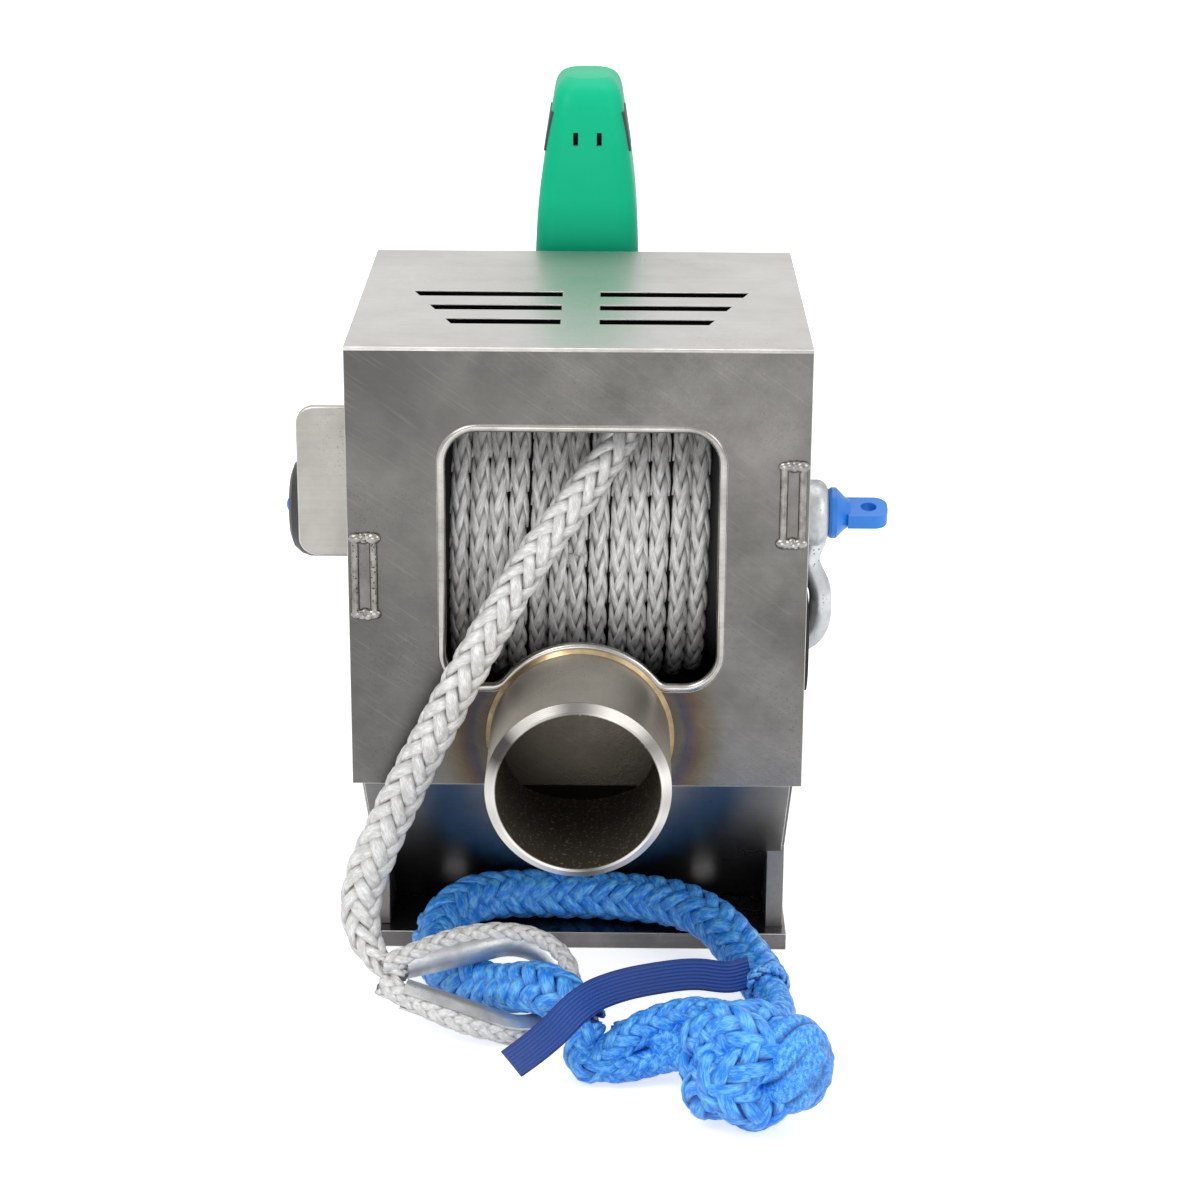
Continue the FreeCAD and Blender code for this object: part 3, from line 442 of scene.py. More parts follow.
def zinc(name, pale, dull):
    material, tree, shader, where = new_material(name, Metallic=0.85)
    made = placed(tree, ZINC, {"Vector": where["Object"], "Pale": (*pale, 1),
                               "Dull": (*dull, 1)})
    feed(tree, shader, made["Color"], made["Roughness"], made["Height"], lift=0.00025)
    return material


def fibres(name, under, body, top):
    """Braided rope: under is the painted shade between its strands, body the strands'
    colour, top their lighter streaks with painted highlight.
    """
    material, tree, shader, where = new_material(name, Sheen_Weight=0.02,
                                                 Sheen_Roughness=0.4)
    lift = put(tree, "Attribute", attribute_name="lift").outputs["Fac"]
    made = placed(tree, FIBRES, {"Strand": where["UV"], "Lift": lift, "Painted_Shade": (*under, 1),
                                 "Body": (*body, 1), "Top": (*top, 1), "Fuzz": 0.5})
    feed(tree, shader, made["Color"], made["Roughness"], made["Height"], lift=0.00045)
    return material


def make_pipe_steel():
    """Drawn tube: warm outside, turned bevel at the mouth with painted reflections round
    it, speckled painted shade in the bore.
    """
    material, tree, shader, where = new_material("pipe_steel", Metallic=1.0)
    here = where["Object"]
    at = put(tree, "Mapping", {"Vector": here, "Rotation": ALONG_Y}).outputs[0]
    made = placed(tree, STEEL, {"Vector": at, "Dark": (0.42, 0.385, 0.335, 1),
                                "Light": (0.70, 0.655, 0.585, 1), "Cloud": 14.0,
                                "Lines": 0.25, "Pits": 0.3, "Rough": 0.4})
    away = from_pipe(tree, here, PIPE_AT)
    far = vector(tree, "LENGTH", away, out="Value")
    sheen = noise(tree, vector(tree, "NORMALIZE", away), 1.25, 1.0)
    mouth = between(tree, split(tree, here)["Y"], -0.1812, -0.1817)
    # Painted reflection: the mouth's bevel goes from dark to bright round the pipe, by
    # noise.
    mouth_reflection = mixed(tree, between(tree, sheen, 0.36, 0.62), (0.07, 0.067, 0.062, 1),
                   (0.75, 0.72, 0.68, 1))
    colour = mixed(tree, mouth, made["Color"], mouth_reflection)
    speck = noise(tree, here, 700.0, 2.0)
    # Painted shade inside the bore, with lighter specks.
    bore_shade = mixed(tree, between(tree, speck, 0.58, 0.70), (0.085, 0.072, 0.055, 1),
                  (0.30, 0.27, 0.22, 1))
    bore = (PIPE_BORE_R, PIPE_BORE_R - 0.0005)
    colour = mixed(tree, between(tree, far, *bore), colour, bore_shade)
    rough = plus(tree, made["Roughness"], between(tree, far, *bore, 0.0, 0.3))
    turned = maths(tree, "SINE", times(tree, far, 9000.0))
    feed(tree, shader, colour, rough, times(tree, turned, mouth), lift=0.00002)
    return material


def make_ribbon_weave():
    """Woven tape: ribs along it, a finer warp across them, a darker hem on each side."""
    material, tree, shader, where = new_material("ribbon_weave", Roughness=0.5)
    flat = split(tree, where["UV"])
    ribs = maths(tree, "SINE", times(tree, flat["X"], 2 * math.pi / 1.55))
    warp = maths(tree, "SINE", times(tree, flat["Y"], 2 * math.pi / 1.0))
    weave = plus(tree, times(tree, ribs, 0.7), times(tree, times(tree, ribs, warp), 0.3))
    hem = between(tree, maths(tree, "ABSOLUTE", flat["X"]), 5.9, 6.5, 0.0, 0.6)
    colour = mixed(tree, between(tree, weave, -1.0, 1.0), (0.001, 0.022, 0.14, 1),
                   (0.004, 0.080, 0.42, 1))
    colour = mixed(tree, hem, colour, (0.002, 0.015, 0.16, 1))
    feed(tree, shader, colour, height=weave, lift=0.00025)
    return material


front_steel = steel("front_steel", (0.09, 0.086, 0.08), (0.25, 0.24, 0.225), cloud=8.0,
                    lines=0.16, pits=0.3, rough=0.36, heat=(0.0445, 0.022),
                    shade=(0.065, 0.063, 0.06))
side_steel = steel("side_steel", (0.11, 0.10, 0.095), (0.27, 0.26, 0.245), lines=0.3,
                   rough=0.42, turn=ALONG_Y)
top_steel = steel("top_steel", (0.42, 0.405, 0.385), (0.62, 0.605, 0.58), cloud=7.0,
                  lines=0.35, pits=0.3,
                  vents=((-0.08, 0.08), (-0.085, 0.0), (0.29, 0.3013)))
apron_steel = steel("apron_steel", (0.10, 0.095, 0.092), (0.24, 0.235, 0.23), cloud=10.0,
                    lines=0.4, pits=0.2, rough=0.33)
base_steel = steel("base_steel", (0.10, 0.095, 0.09), (0.24, 0.23, 0.225), cloud=12.0,
                   lines=0.5, pits=0.4, rough=0.28)
# Eased plate edges: lighter cut metal, partly a painted highlight along every edge.
cut_edge_highlight = steel("cut_edge_highlight", (0.36, 0.35, 0.33), (0.62, 0.60, 0.57), cloud=60.0, lines=0.8,
                 pits=0.2, rough=0.38)
pipe_steel = make_pipe_steel()
guard_steel = steel("guard_steel", (0.34, 0.32, 0.295), (0.52, 0.50, 0.465), cloud=9.0,
                    lines=0.3, pits=0.3, rough=0.5)
polished_steel = steel("polished_steel", (0.26, 0.25, 0.23), (0.52, 0.50, 0.47), cloud=40.0,
                       lines=0.6, pits=0.1, rough=0.22)
weld_steel = steel("weld_steel", (0.12, 0.115, 0.105), (0.36, 0.34, 0.31), cloud=220.0,
                   lines=0.2, pits=1.0, rough=0.3, lift=0.0003)
tinted_weld = steel("tinted_weld", (0.26, 0.18, 0.09), (0.62, 0.48, 0.28), cloud=90.0,
                    lines=0.2, pits=0.3, rough=0.3, lift=0.0001)
bead_steel = steel("bead_steel", (0.16, 0.155, 0.145), (0.48, 0.46, 0.43), cloud=260.0,
                   lines=0.1, pits=0.8, rough=0.2, lift=0.0002)
bearing_metal = steel("bearing_metal", (0.25, 0.25, 0.25), (0.5, 0.5, 0.5), rough=0.3)
drive_metal = steel("drive_metal", (0.06, 0.065, 0.07), (0.15, 0.155, 0.16), cloud=30.0,
                    lines=0.1, rough=0.5)
galvanised_steel = zinc("galvanised_steel", (0.66, 0.67, 0.67), (0.40, 0.41, 0.42))
blue_paint = plastic("blue_paint", (0.02, 0.22, 0.74), (0.10, 0.36, 0.80), wear=0.5,
                     rough=0.33)
HOOD_SLOT = ((0.0848, 0.0915), (0.3508, 0.3577))    # both slots' limits along Y and Z
green_plastic = plastic("green_plastic", (0.002, 0.49, 0.245), (0.008, 0.55, 0.30),
                        wear=0.6, shaded_foot=(0.300, 0.325), Specular_IOR_Level=0.14,
                        shaded_recesses=[((-0.0060, -0.0028), *HOOD_SLOT),
                                  ((0.0054, 0.0086), *HOOD_SLOT)])
grip_plastic = plastic("grip_plastic", (0.03, 0.045, 0.042), (0.08, 0.10, 0.10), rough=0.5)
knob_plastic = plastic("knob_plastic", (0.022, 0.022, 0.02), (0.07, 0.07, 0.065), rough=0.5)
cap_plastic = plastic("cap_plastic", (0.03, 0.16, 0.75), (0.2, 0.4, 0.9), rough=0.3)
black_rubber = plastic("black_rubber", (0.02, 0.019, 0.018), (0.07, 0.065, 0.06),
                       rough=0.6)
rope_shadow = plastic("rope_shadow", (0.05, 0.05, 0.047), (0.12, 0.12, 0.11), scale=500.0,
                      rough=0.7)
pale_rope = fibres("pale_rope", (0.15, 0.145, 0.13), (0.60, 0.59, 0.56),
                   (0.97, 0.96, 0.94))
wound_fibres = fibres("wound_fibres", (0.12, 0.116, 0.105), (0.56, 0.55, 0.52),
                      (1.0, 0.99, 0.97))
blue_rope = fibres("blue_rope", (0.0, 0.028, 0.24), (0.0, 0.21, 0.84), (0.20, 0.66, 1.0))
hem_rope = fibres("hem_rope", (0.0, 0.12, 0.50), (0.02, 0.34, 0.95), (0.5, 0.85, 1.0))
ribbon_weave = make_ribbon_weave()


# ---------------------------------------------------------------- rope making
def rope_line(route, step):
    """Points a step apart along the smooth curve of a route given in millimetres."""
    curve = bpy.data.curves.new("route", "CURVE")
    curve.dimensions = "3D"
    spline = curve.splines.new("NURBS")
    spline.points.add(len(route) - 1)
    for point, at in zip(spline.points, route):
        point.co = (at[0] * MM, at[1] * MM, at[2] * MM, 1)
    spline.order_u = 3
    spline.use_endpoint_u = True
    spline.resolution_u = 16
    holder = linked("route", curve)
    bpy.context.view_layer.update()
    mesh = bpy.data.meshes.new_from_object(holder)
    line = np.array([v.co[:] for v in mesh.vertices])
    bpy.data.objects.remove(holder)
    bpy.data.curves.remove(curve)
    bpy.data.meshes.remove(mesh)
    return evenly(line, step)


def evenly(line, step):
    """The same line with its points about a step apart."""
    runs = np.linalg.norm(np.diff(line, axis=0), axis=1)
    along = np.concatenate([[0], np.cumsum(runs)])
    count = max(2, int(round(along[-1] / step)) + 1)
    at = np.linspace(0, along[-1], count)
    return np.stack([np.interp(at, along, line[:, i]) for i in range(3)], axis=1)


def length_of(line):
    return float(np.linalg.norm(np.diff(line, axis=0), axis=1).sum())


def unit(v):
    return v / np.maximum(np.linalg.norm(v, axis=-1, keepdims=True), 1e-12)


def square_to(along, v):
    """v with its part along another direction taken away, at unit length."""
    return unit(v - along * np.sum(v * along, axis=-1, keepdims=True))


def framed(line, out):
    """Tangent, outward and side directions of a line whose outward way is known."""
    along = unit(np.gradient(line, axis=0))
    out = square_to(along, out)
    return along, out, np.cross(along, out)


def frames_of(line, first_out=(0, 0, 1)):
    """Tangent, outward and side directions that turn as little as they can."""
    along = unit(np.gradient(line, axis=0))
    out = np.zeros_like(line)
    before = np.array(first_out, float)
    for i in range(len(line)):
        v = before - along[i] * before.dot(along[i])
        before = out[i] = v / np.linalg.norm(v)
    return along, out, np.cross(along, out)


def tube_faces(start, rings, sides):
    """Quads between the rings of a tube whose points begin at start, and its two ends."""
    faces = []
    for i in range(1, rings):
        a, b = start + (i - 1) * sides, start + i * sides
        for c in range(sides):
            d = (c + 1) % sides
            faces.append((a + c, a + d, b + d, b + c))
    faces.append(tuple(start + c for c in reversed(range(sides))))
    last = start + (rings - 1) * sides
    faces.append(tuple(last + c for c in range(sides)))
    return faces


def runs_of(keep):
    """Lists of neighbouring indices that are kept, each more than two long."""
    run = []
    for i, kept in enumerate([*keep, False]):
        if kept:
            run.append(i)
            continue
        if len(run) > 2:
            yield run
        run = []


def braided(line, frames, pitch, seat, half_w, half_t, sway, strands=12, swell=None,
            shown=None, loose=0.0, seed=1):
    """Points, faces, strand coordinates and lift of a hollow braid along a line.

    seat is the radius of the strands' middle, half_w and half_t their half width and
    thickness, sway how far they go in and out. All are in millimetres, as are the
    pitch of one strand's turn and the looseness. swell scales the rope along its
    line, and shown says at which angles a strand is made."""
    along, out, side = frames
    pitch, half, count, sides = pitch * MM, strands // 2, len(line), 8
    s = np.concatenate([[0], np.cumsum(np.linalg.norm(np.diff(line, axis=0), axis=1))])
    size = np.ones(count) if swell is None else swell
    chance = np.random.default_rng(seed)
    points, faces, coords, lifts = [], [], [], []
    ring = np.linspace(0, 2 * math.pi, sides, endpoint=False)
    bulge = np.sign(np.cos(ring)) * np.abs(np.cos(ring)) ** 0.8
    for way in (1, -1):
        for k in range(half):
            phase = chance.uniform(0, 6.28, 3)
            jitter = loose * MM * (np.sin(s / pitch * 5.1 + phase[0])
                                   + 0.6 * np.sin(s / pitch * 11.3 + phase[1]))
            angle = 2 * math.pi * k / half + way * 2 * math.pi * s / pitch
            n = strands * s / pitch
            wave = way * np.cos(math.pi / 2 * (2 * k + way * n - 0.5))
            r = (seat * MM + sway * MM * wave) * size + jitter * 0.35
            radial = np.cos(angle)[:, None] * out + np.sin(angle)[:, None] * side
            middle = line + radial * r[:, None]
            go = unit(np.gradient(middle, axis=0))
            face = square_to(go, radial)
            wide = np.cross(go, face)
            w = half_w * MM * size * (1 + 0.10 * np.sin(s / pitch * 7.7 + phase[2]))
            t = half_t * MM * size
            keep = np.ones(count, bool) if shown is None else shown(angle)
            for run in runs_of(keep):
                faces += tube_faces(len(points), len(run), sides)
                for at in run:
                    points.extend(middle[at] + wide[at] * (bulge * w[at])[:, None]
                                  + face[at] * (np.sin(ring) * t[at])[:, None])
                    # Lift is high where a strand goes over and on its outward face; the
                    # fibre finish paints shade where it is low.
                    high = 0.5 + 0.5 * wave[at]
                    lifts.extend(high * (0.65 + 0.35 * np.sin(ring)))
                    coords.extend([(k * 3 + way + c / math.pi, s[at] / pitch * 6)
                                   for c in ring])
    return points, faces, coords, lifts


def set_coords(mesh, coords, name="strand"):
    """Gives each point of a mesh its texture coordinates."""
    corners = np.zeros(len(mesh.loops), dtype=np.int32)
    mesh.loops.foreach_get("vertex_index", corners)
    layer = mesh.uv_layers.active or mesh.uv_layers.new(name=name)
    layer.data.foreach_set("uv", np.array(coords, dtype=np.float32)[corners].ravel())


def set_lift(mesh, lifts):
    """Stores how far each point stands out of the rope, from 0 to 1; the fibre finish
    paints shade where it is low.
    """
    lift = mesh.attributes.new("lift", "FLOAT", "POINT")
    lift.data.foreach_set("value", np.array(lifts, dtype=np.float32))


def rope_piece(name, made, material, line, frames, core):
    """Mesh of a braid and the plain closed tube, of radius core, that fills it."""
    points, faces, coords, lifts = made
    sides = 12
    ring = np.linspace(0, 2 * math.pi, sides, endpoint=False)
    faces = faces + tube_faces(len(points), len(line), sides)
    for at, out, side, r in zip(line, frames[1], frames[2],
                                np.broadcast_to(core, len(line))):
        points.extend(at + r * (np.cos(ring)[:, None] * out + np.sin(ring)[:, None] * side))
    more = len(line) * sides
    rope = piece_of(name, points, faces, material)
    set_coords(rope.data, coords + [(0.0, 0.0)] * more)
    set_lift(rope.data, lifts + [0.0] * more)
    return rope


def rope_of(name, line, frames, braid, core, material, slot, *nodes, body="frame"):
    """Braid along a line, finished; braid holds braided()'s settings."""
    made = braided(line, frames, **braid)
    swell = braid.get("swell")
    core = core * MM if swell is None else core * MM * swell
    rope = rope_piece(name, made, material, line, frames, core)
    return finished_as(rope, body, slot, *nodes)


# ---------------------------------------------------------------- loose ropes
# Routes and braids are in millimetres.
TAIL_ROUTE = [(31, -67.2, 276.5), (27, -78.2, 269.5), (21, -88.9, 259.4),
              (12, -98.2, 246.2), (1, -104.6, 232.6), (-12, -111.8, 217),
              (-25, -118, 199), (-37, -127, 179), (-51, -134, 155), (-62, -134, 133),
              (-73, -133, 111), (-83, -133, 89), (-91, -134, 71), (-95.5, -137, 57),
              (-96, -142, 45), (-92.5, -148, 36), (-86.5, -154, 30.5), (-81, -158.5, 27),
              (-76, -160.5, 25)]
COVER_ROUTE = [(86, -141, 13), (82, -124, 13), (75, -107, 16), (64, -89, 22), (49, -74, 23),
               (30, -63, 21), (9, -58.5, 20.5), (-13, -58, 20.5), (-33, -59, 21),
               (-51, -68, 22.5), (-63, -84, 19), (-66, -103, 12.5), (-60, -121, 11.5),
               (-48, -134, 11.6), (-36.5, -145.5, 13.2), (-24.5, -160, 22.2),
               (-14, -174, 29.3), (-3, -186.5, 29), (7, -195, 23)]
BIGHT_ROUTE = [(7, -195, 23), (3.5, -199.5, 17.5), (2.5, -204, 11), (6, -207.5, 7.6),
               (12, -207, 10), (18, -205, 17), (26, -203, 22.5), (36, -200, 26),
               (46, -197, 28), (55, -194.5, 27.5), (66, -191, 24), (77, -187.5, 19.3)]
STEM_ROUTE = [(86, -141, 13), (89, -153.8, 13), (90, -168, 15.5), (88, -183, 19),
              (85, -198, 22.5), (79.3, -214.2, 25.4)]
NECK_ROUTES = [[(9, -207, 8), (18, -209, 7.5), (28, -207, 8.5), (37, -206, 11),
                (46, -212, 16), (54, -221, 22), (61, -231, 26)],
               [(32, -200, 22), (39, -204, 18.5), (47, -211, 18), (54, -219, 20.5),
                (61, -230, 25)],
               [(18, -185, 13), (24, -189, 11), (30, -193, 11), (37, -198, 12),
                (44, -206, 13)]]
RIBBON_ROUTE = [(78, -139, 20), (72, -147.5, 22), (66, -153, 24), (53, -159, 29),
                (36, -174, 34), (19, -198, 42), (4, -220, 46), (-11.5, -226, 30),
                (-26.3, -211, 11)]
TAIL_BRAID = dict(pitch=66, seat=6.3, half_w=3.1, half_t=1.9, sway=1.1, loose=0.3, seed=3)
COVER_BRAID = dict(pitch=60, seat=8.4, half_w=3.6, half_t=2.1, sway=1.3, loose=0.3, seed=5)
BIGHT_BRAID = dict(pitch=48, seat=5.2, half_w=2.7, half_t=1.6, sway=0.9, loose=0.2, seed=8)
STEM_BRAID = dict(pitch=48, seat=5.4, half_w=2.7, half_t=1.6, sway=0.9, loose=0.2, seed=9)
EYE_BRAID = dict(pitch=46, seat=3.5, half_w=2.1, half_t=1.1, sway=0.6, loose=0.1, seed=4)
KNOT_BRAID = dict(pitch=56, seat=7.2, half_w=3.5, half_t=2.0, sway=1.1, loose=0.35, seed=11)
NECK_BRAID = dict(pitch=44, seat=4.6, half_w=2.6, half_t=1.2, sway=0.7, loose=0.2)
HEM_BRAID = dict(pitch=18, seat=1.7, half_w=1.1, half_t=0.7, sway=0.35, strands=8, seed=15)
WINDING_BRAID = dict(pitch=96, seat=3.1, half_w=1.75, half_t=1.0, sway=0.55, loose=0.12,
                     shown=lambda angle: np.cos(angle) > -0.3)
# Share of the way along a rope, and its scale there.
TAIL_SWELL = [(0, 0.86), (0.3, 0.94), (0.6, 1.0), (0.8, 1.1), (0.88, 1.04), (0.94, 0.72),
              (1.0, 0.5)]
COVER_SWELL = [(0, 0.97), (0.02, 1.0), (0.96, 1.0), (1.0, 0.78)]
STEPS_PER_PITCH = 26


def free_rope(name, route, braid, core, material, slot, node, swell=None):
    line = rope_line(route, braid["pitch"] * MM / STEPS_PER_PITCH)
    if swell:
        shares, scales = zip(*swell)
        braid = {**braid, "swell": np.interp(np.linspace(0, 1, len(line)), shares, scales)}
    return rope_of(name, line, frames_of(line), braid, core, material, slot, node), line


tail, tail_line = free_rope("rope_tail_braid", TAIL_ROUTE, TAIL_BRAID, 5.4, pale_rope,
                            "grey_rope", "rope_tail", TAIL_SWELL)
cover, cover_line = free_rope("soft_shackle_cover", COVER_ROUTE, COVER_BRAID, 7.3,
                              blue_rope, "blue_rope", "soft_shackle_loop", COVER_SWELL)
bight, bight_line = free_rope("soft_shackle_bight", BIGHT_ROUTE, BIGHT_BRAID, 4.2,
                              blue_rope, "blue_rope", "soft_shackle_eye")
stem, _ = free_rope("soft_shackle_stem_braid", STEM_ROUTE, STEM_BRAID, 4.4, blue_rope,
                    "blue_rope", "soft_shackle_stem")


# ---------------------------------------------------------------- rope eye in the thimble
THIMBLE_AT = np.array((-38.5, -154.5, 20.8)) * MM
THIMBLE_TURN = np.array(Matrix.Rotation(math.radians(8), 3, "Z")
                        @ Matrix.Rotation(math.radians(7), 3, "Y")
                        @ Matrix.Rotation(math.radians(29), 3, "X"))
# Half of the eye's line: along the thimble and across it, from the splice to the bow.
EYE_HALF = [(-48, 3.6), (-42, 6.6), (-34, 10.5), (-24, 16.2), (-12, 21.5), (0, 24.4),
            (12, 25.2), (24, 22.5), (33.5, 14.0), (36.6, 4.5)]
EYE_RISE = 4.2      # how far the eye's rear leg lies over the thimble's plane


def in_thimble(u, w, n=0.0):
    """Point at u along the thimble, w across it and n over its plane, in millimetres."""
    return tuple((THIMBLE_AT + THIMBLE_TURN @ (np.array((u, w, n)) * MM)) / MM)


def thimble_eye():
    flat = EYE_HALF + [(u, -w) for u, w in reversed(EYE_HALF)]
    rise = [EYE_RISE * min(1, max(0, (w + 4) / 12)) for _, w in flat]
    line = rope_line([in_thimble(u, w, n) for (u, w), n in zip(flat, rise)], 1.7 * MM)
    middle = np.array(in_thimble(6, 0)) * MM
    along = unit(np.gradient(line, axis=0))
    up = np.tile(THIMBLE_TURN @ np.array((0, 0, 1.0)), (len(line), 1))
    out = np.cross(up, along)
    out[np.sum(out * (middle - line), axis=1) > 0] *= -1
    out = unit(out)
    frames = (along, out, np.cross(along, out))
    eye = rope_of("rope_eye_braid", line, frames, EYE_BRAID, 3.0, pale_rope, "grey_rope",
                  "rope_eye")
    return eye, line


eye, eye_line = thimble_eye()


# ---------------------------------------------------------------- knot of the soft shackle
KNOT_AT = np.array((70, -240, 28.0)) * MM
MELTED_AT = np.array((91.5, -247, 31)) * MM
MELTED_FACE = (0.78, -0.55, 0.1)            # the way the smooth end looks


def knot_lobes():
    """Rope worked round itself into a ball, its crossings going over and under."""
    leads, bights = 3, 4
    radius, weave = 16.4, 3.6       # of the ball, and how far the rope goes over and under
    t = np.linspace(0, 2 * math.pi, 420, endpoint=False)
    lat = 0.98 * np.sin(bights * t)
    lon = leads * t + 0.35
    r = (radius + weave * np.sin(2 * bights * t + 1.57 * np.cos(leads * t))) * MM
    line = np.stack([r * np.sin(lat), -r * np.cos(lat) * np.cos(lon),
                     r * np.cos(lat) * np.sin(lon)], axis=1) + KNOT_AT
    line = evenly(np.vstack([line, line[:2]]), 1.5 * MM)
    return rope_of("soft_shackle_knot_lobes", line, framed(line, unit(line - KNOT_AT)),
                   KNOT_BRAID, 6.2, blue_rope, "blue_rope", "soft_shackle_knot")


def melted_end():
    """Bunched rope ends beside the knot: a lumpy lobe, its outer face melted smooth."""
    bpy.ops.mesh.primitive_ico_sphere_add(subdivisions=6, radius=1)
    lump = bpy.context.active_object
    lump.name = "soft_shackle_melted_end"
    mesh = lump.data
    at = np.zeros(len(mesh.vertices) * 3)
    mesh.vertices.foreach_get("co", at)
    way = unit(at.reshape(-1, 3))
    face = np.clip(way @ unit(np.array(MELTED_FACE)), 0, 1) ** 2
    turn = np.arctan2(way[:, 2], way[:, 1])
    lumps = np.abs(np.sin(3.5 * turn + 3.2 * way[:, 0])) ** 0.5
    chance = np.random.default_rng(17)
    rough = np.zeros(len(way))
    waves = 26
    for _ in range(waves):
        wave = chance.normal(size=3) * chance.uniform(4, 11)
        rough += np.sin(way @ wave + chance.uniform(0, 6.28)) / waves ** 0.5
    size = 16.2 + (1 - face) * 2.8 * lumps + face * (0.8 * rough + 0.6)
    points = way * np.array((0.95, 0.97, 1.12)) * size[:, None] * MM + MELTED_AT
    mesh.vertices.foreach_set("co", points.ravel())
    mesh.materials.append(blue_rope)
    # Low lift in the creases between the lumps gets painted shade from the fibre finish.
    high = (1 - face) * (0.1 + 0.75 * lumps) + face * (0.55 + 0.16 * rough)
    set_lift(mesh, np.clip(high, 0, 1))
    set_coords(mesh, np.stack([turn * 2, way[:, 0] * 5], axis=1))
    bpy.ops.object.shade_smooth()
    return finished_as(lump, "frame", "blue_rope")


def neck_strand(number, route):
    """One of the thin strands that run from the small eye into the knot."""
    line = rope_line(route, 1.7 * MM)
    return rope_of(f"soft_shackle_neck_{number}", line, frames_of(line),
                   {**NECK_BRAID, "seed": 11 + number}, 3.9, blue_rope, "blue_rope")


def cover_hem():
    """Turned hem round the mouth of the cover, where the stem comes out."""
    along = unit(cover_line[3] - cover_line[0])
    out = unit(np.cross(along, (0, 0, 1.0)))
    up = np.cross(out, along)
    turn = np.linspace(0, 2 * math.pi, 60)
    depth, radius = 1.5 * MM, 8.6 * MM
    line = (cover_line[0] + along * depth
            + radius * (np.cos(turn)[:, None] * out + np.sin(turn)[:, None] * up))
    return rope_of("soft_shackle_hem", line, frames_of(line, tuple(along)), HEM_BRAID, 1.5,
                   hem_rope, "blue_rope")


knot = knot_lobes()
melted = melted_end()
necks = [neck_strand(number, route) for number, route in enumerate(NECK_ROUTES, 1)]
hem = cover_hem()


# ---------------------------------------------------------------- ribbon
RIBBON_WIDTH = 14
RIBBON_MARKS = 9        # points across the ribbon
TOWARDS_VIEW = (0, -0.93, 0.36)


def make_ribbon():
    line = rope_line(RIBBON_ROUTE, 2.0 * MM)
    along = unit(np.gradient(line, axis=0))
    across = unit(np.cross(along, np.array(TOWARDS_VIEW)))
    points, faces, coords = [], [], []
    marks = np.linspace(-RIBBON_WIDTH / 2, RIBBON_WIDTH / 2, RIBBON_MARKS) * MM
    total = 0.0
    for i in range(len(line)):
        if i:
            total += np.linalg.norm(line[i] - line[i - 1])
            a, b = (i - 1) * RIBBON_MARKS, i * RIBBON_MARKS
            faces += [(a + c, a + c + 1, b + c + 1, b + c) for c in range(RIBBON_MARKS - 1)]
        for m in marks:
            points.append(line[i] + across[i] * m)
            coords.append((m / MM, total / MM))
    ribbon = piece_of("tag_ribbon_cloth", points, faces, ribbon_weave)
    set_coords(ribbon.data, coords, "cloth")
    use(ribbon, "SOLIDIFY", thickness=0.7 * MM, offset=0.0)
    finished_as(ribbon, "frame", "ribbon_weave", "tag_ribbon")


make_ribbon()

tuple(tail_line[0])
length_of(tail_line)
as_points(tail_line)
tuple(eye_line[0])
length_of(eye_line)
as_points(eye_line)
tuple(cover_line[-1])
length_of(cover_line)
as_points(cover_line)
tuple(bight_line[0])
length_of(bight_line)
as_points(bight_line)


# ---------------------------------------------------------------- wound rope
DRUM_AT = np.array((0, -23, 202.0)) * MM
TURNS = 13
STEPS_PER_TURN = 150
ROPE_R = 5.0
WINDING_HALF = 62.5     # half of the room between the flanges
WINDING_R = 73.8        # of the rope's middle, in the outer layer


def wound_rope():
    """The outer turns on the drum; only the outward part of the strands is made."""
    count = STEPS_PER_TURN * TURNS
    t = np.linspace(0, TURNS, count)
    chance = np.random.default_rng(21)
    shift = np.interp(t, np.arange(TURNS + 1), chance.uniform(-0.9, 0.9, TURNS + 1))
    depths = chance.choice([0.0, 0.4, 2.2], TURNS + 1, p=[0.5, 0.25, 0.25])
    sunk = np.interp(t, np.arange(TURNS + 1) + 0.3, depths)
    room = 2 * WINDING_HALF - 2 * ROPE_R
    x = (-WINDING_HALF + ROPE_R + room * t / TURNS + shift) * MM
    r = (WINDING_R - sunk) * MM
    angle = 2 * math.pi * t + math.pi
    line = np.stack([x, -np.cos(angle) * r, np.sin(angle) * r], axis=1) + DRUM_AT
    out = np.stack([np.zeros(count), -np.cos(angle), np.sin(angle)], axis=1)
    frames = framed(line, out)
    halves = (slice(0, count // 2 + 1), slice(count // 2, count))
    for part, cut in enumerate(halves):
        rope_of(f"wound_rope_turns_{part + 1}", line[cut], tuple(f[cut] for f in frames),
                {**WINDING_BRAID, "seed": 31 + part}, 2.7, wound_fibres, "grey_rope",
                "wound_rope", body="drum")


def lower_layer():
    """The layer of rope under the outer turns, one groove a turn."""
    half, radius, groove, bore_r, steps, per_turn = 62.4, 68.0, 1.6, 31, 96, 6
    count = TURNS * per_turn
    profile = [(-half * MM, bore_r * MM)]
    for i in range(count + 1):
        wave = groove * math.cos(2 * math.pi * i / per_turn)
        profile.append(((-half + 2 * half * i / count) * MM, (radius + wave) * MM))
    profile.append((half * MM, bore_r * MM))
    turn = np.linspace(0, 2 * math.pi, steps, endpoint=False)
    points = [DRUM_AT + np.array((x, -r * math.cos(a), r * math.sin(a)))
              for x, r in profile for a in turn]
    faces = []
    for i in range(len(profile)):
        a, b = i * steps, (i + 1) % len(profile) * steps
        for j in range(steps):
            k = (j + 1) % steps
            faces.append((a + j, a + k, b + k, b + j))
    layer = piece_of("wound_rope_under", points, faces, rope_shadow)
    finished_as(layer, "drum", "grey_rope")


wound_rope()
lower_layer()


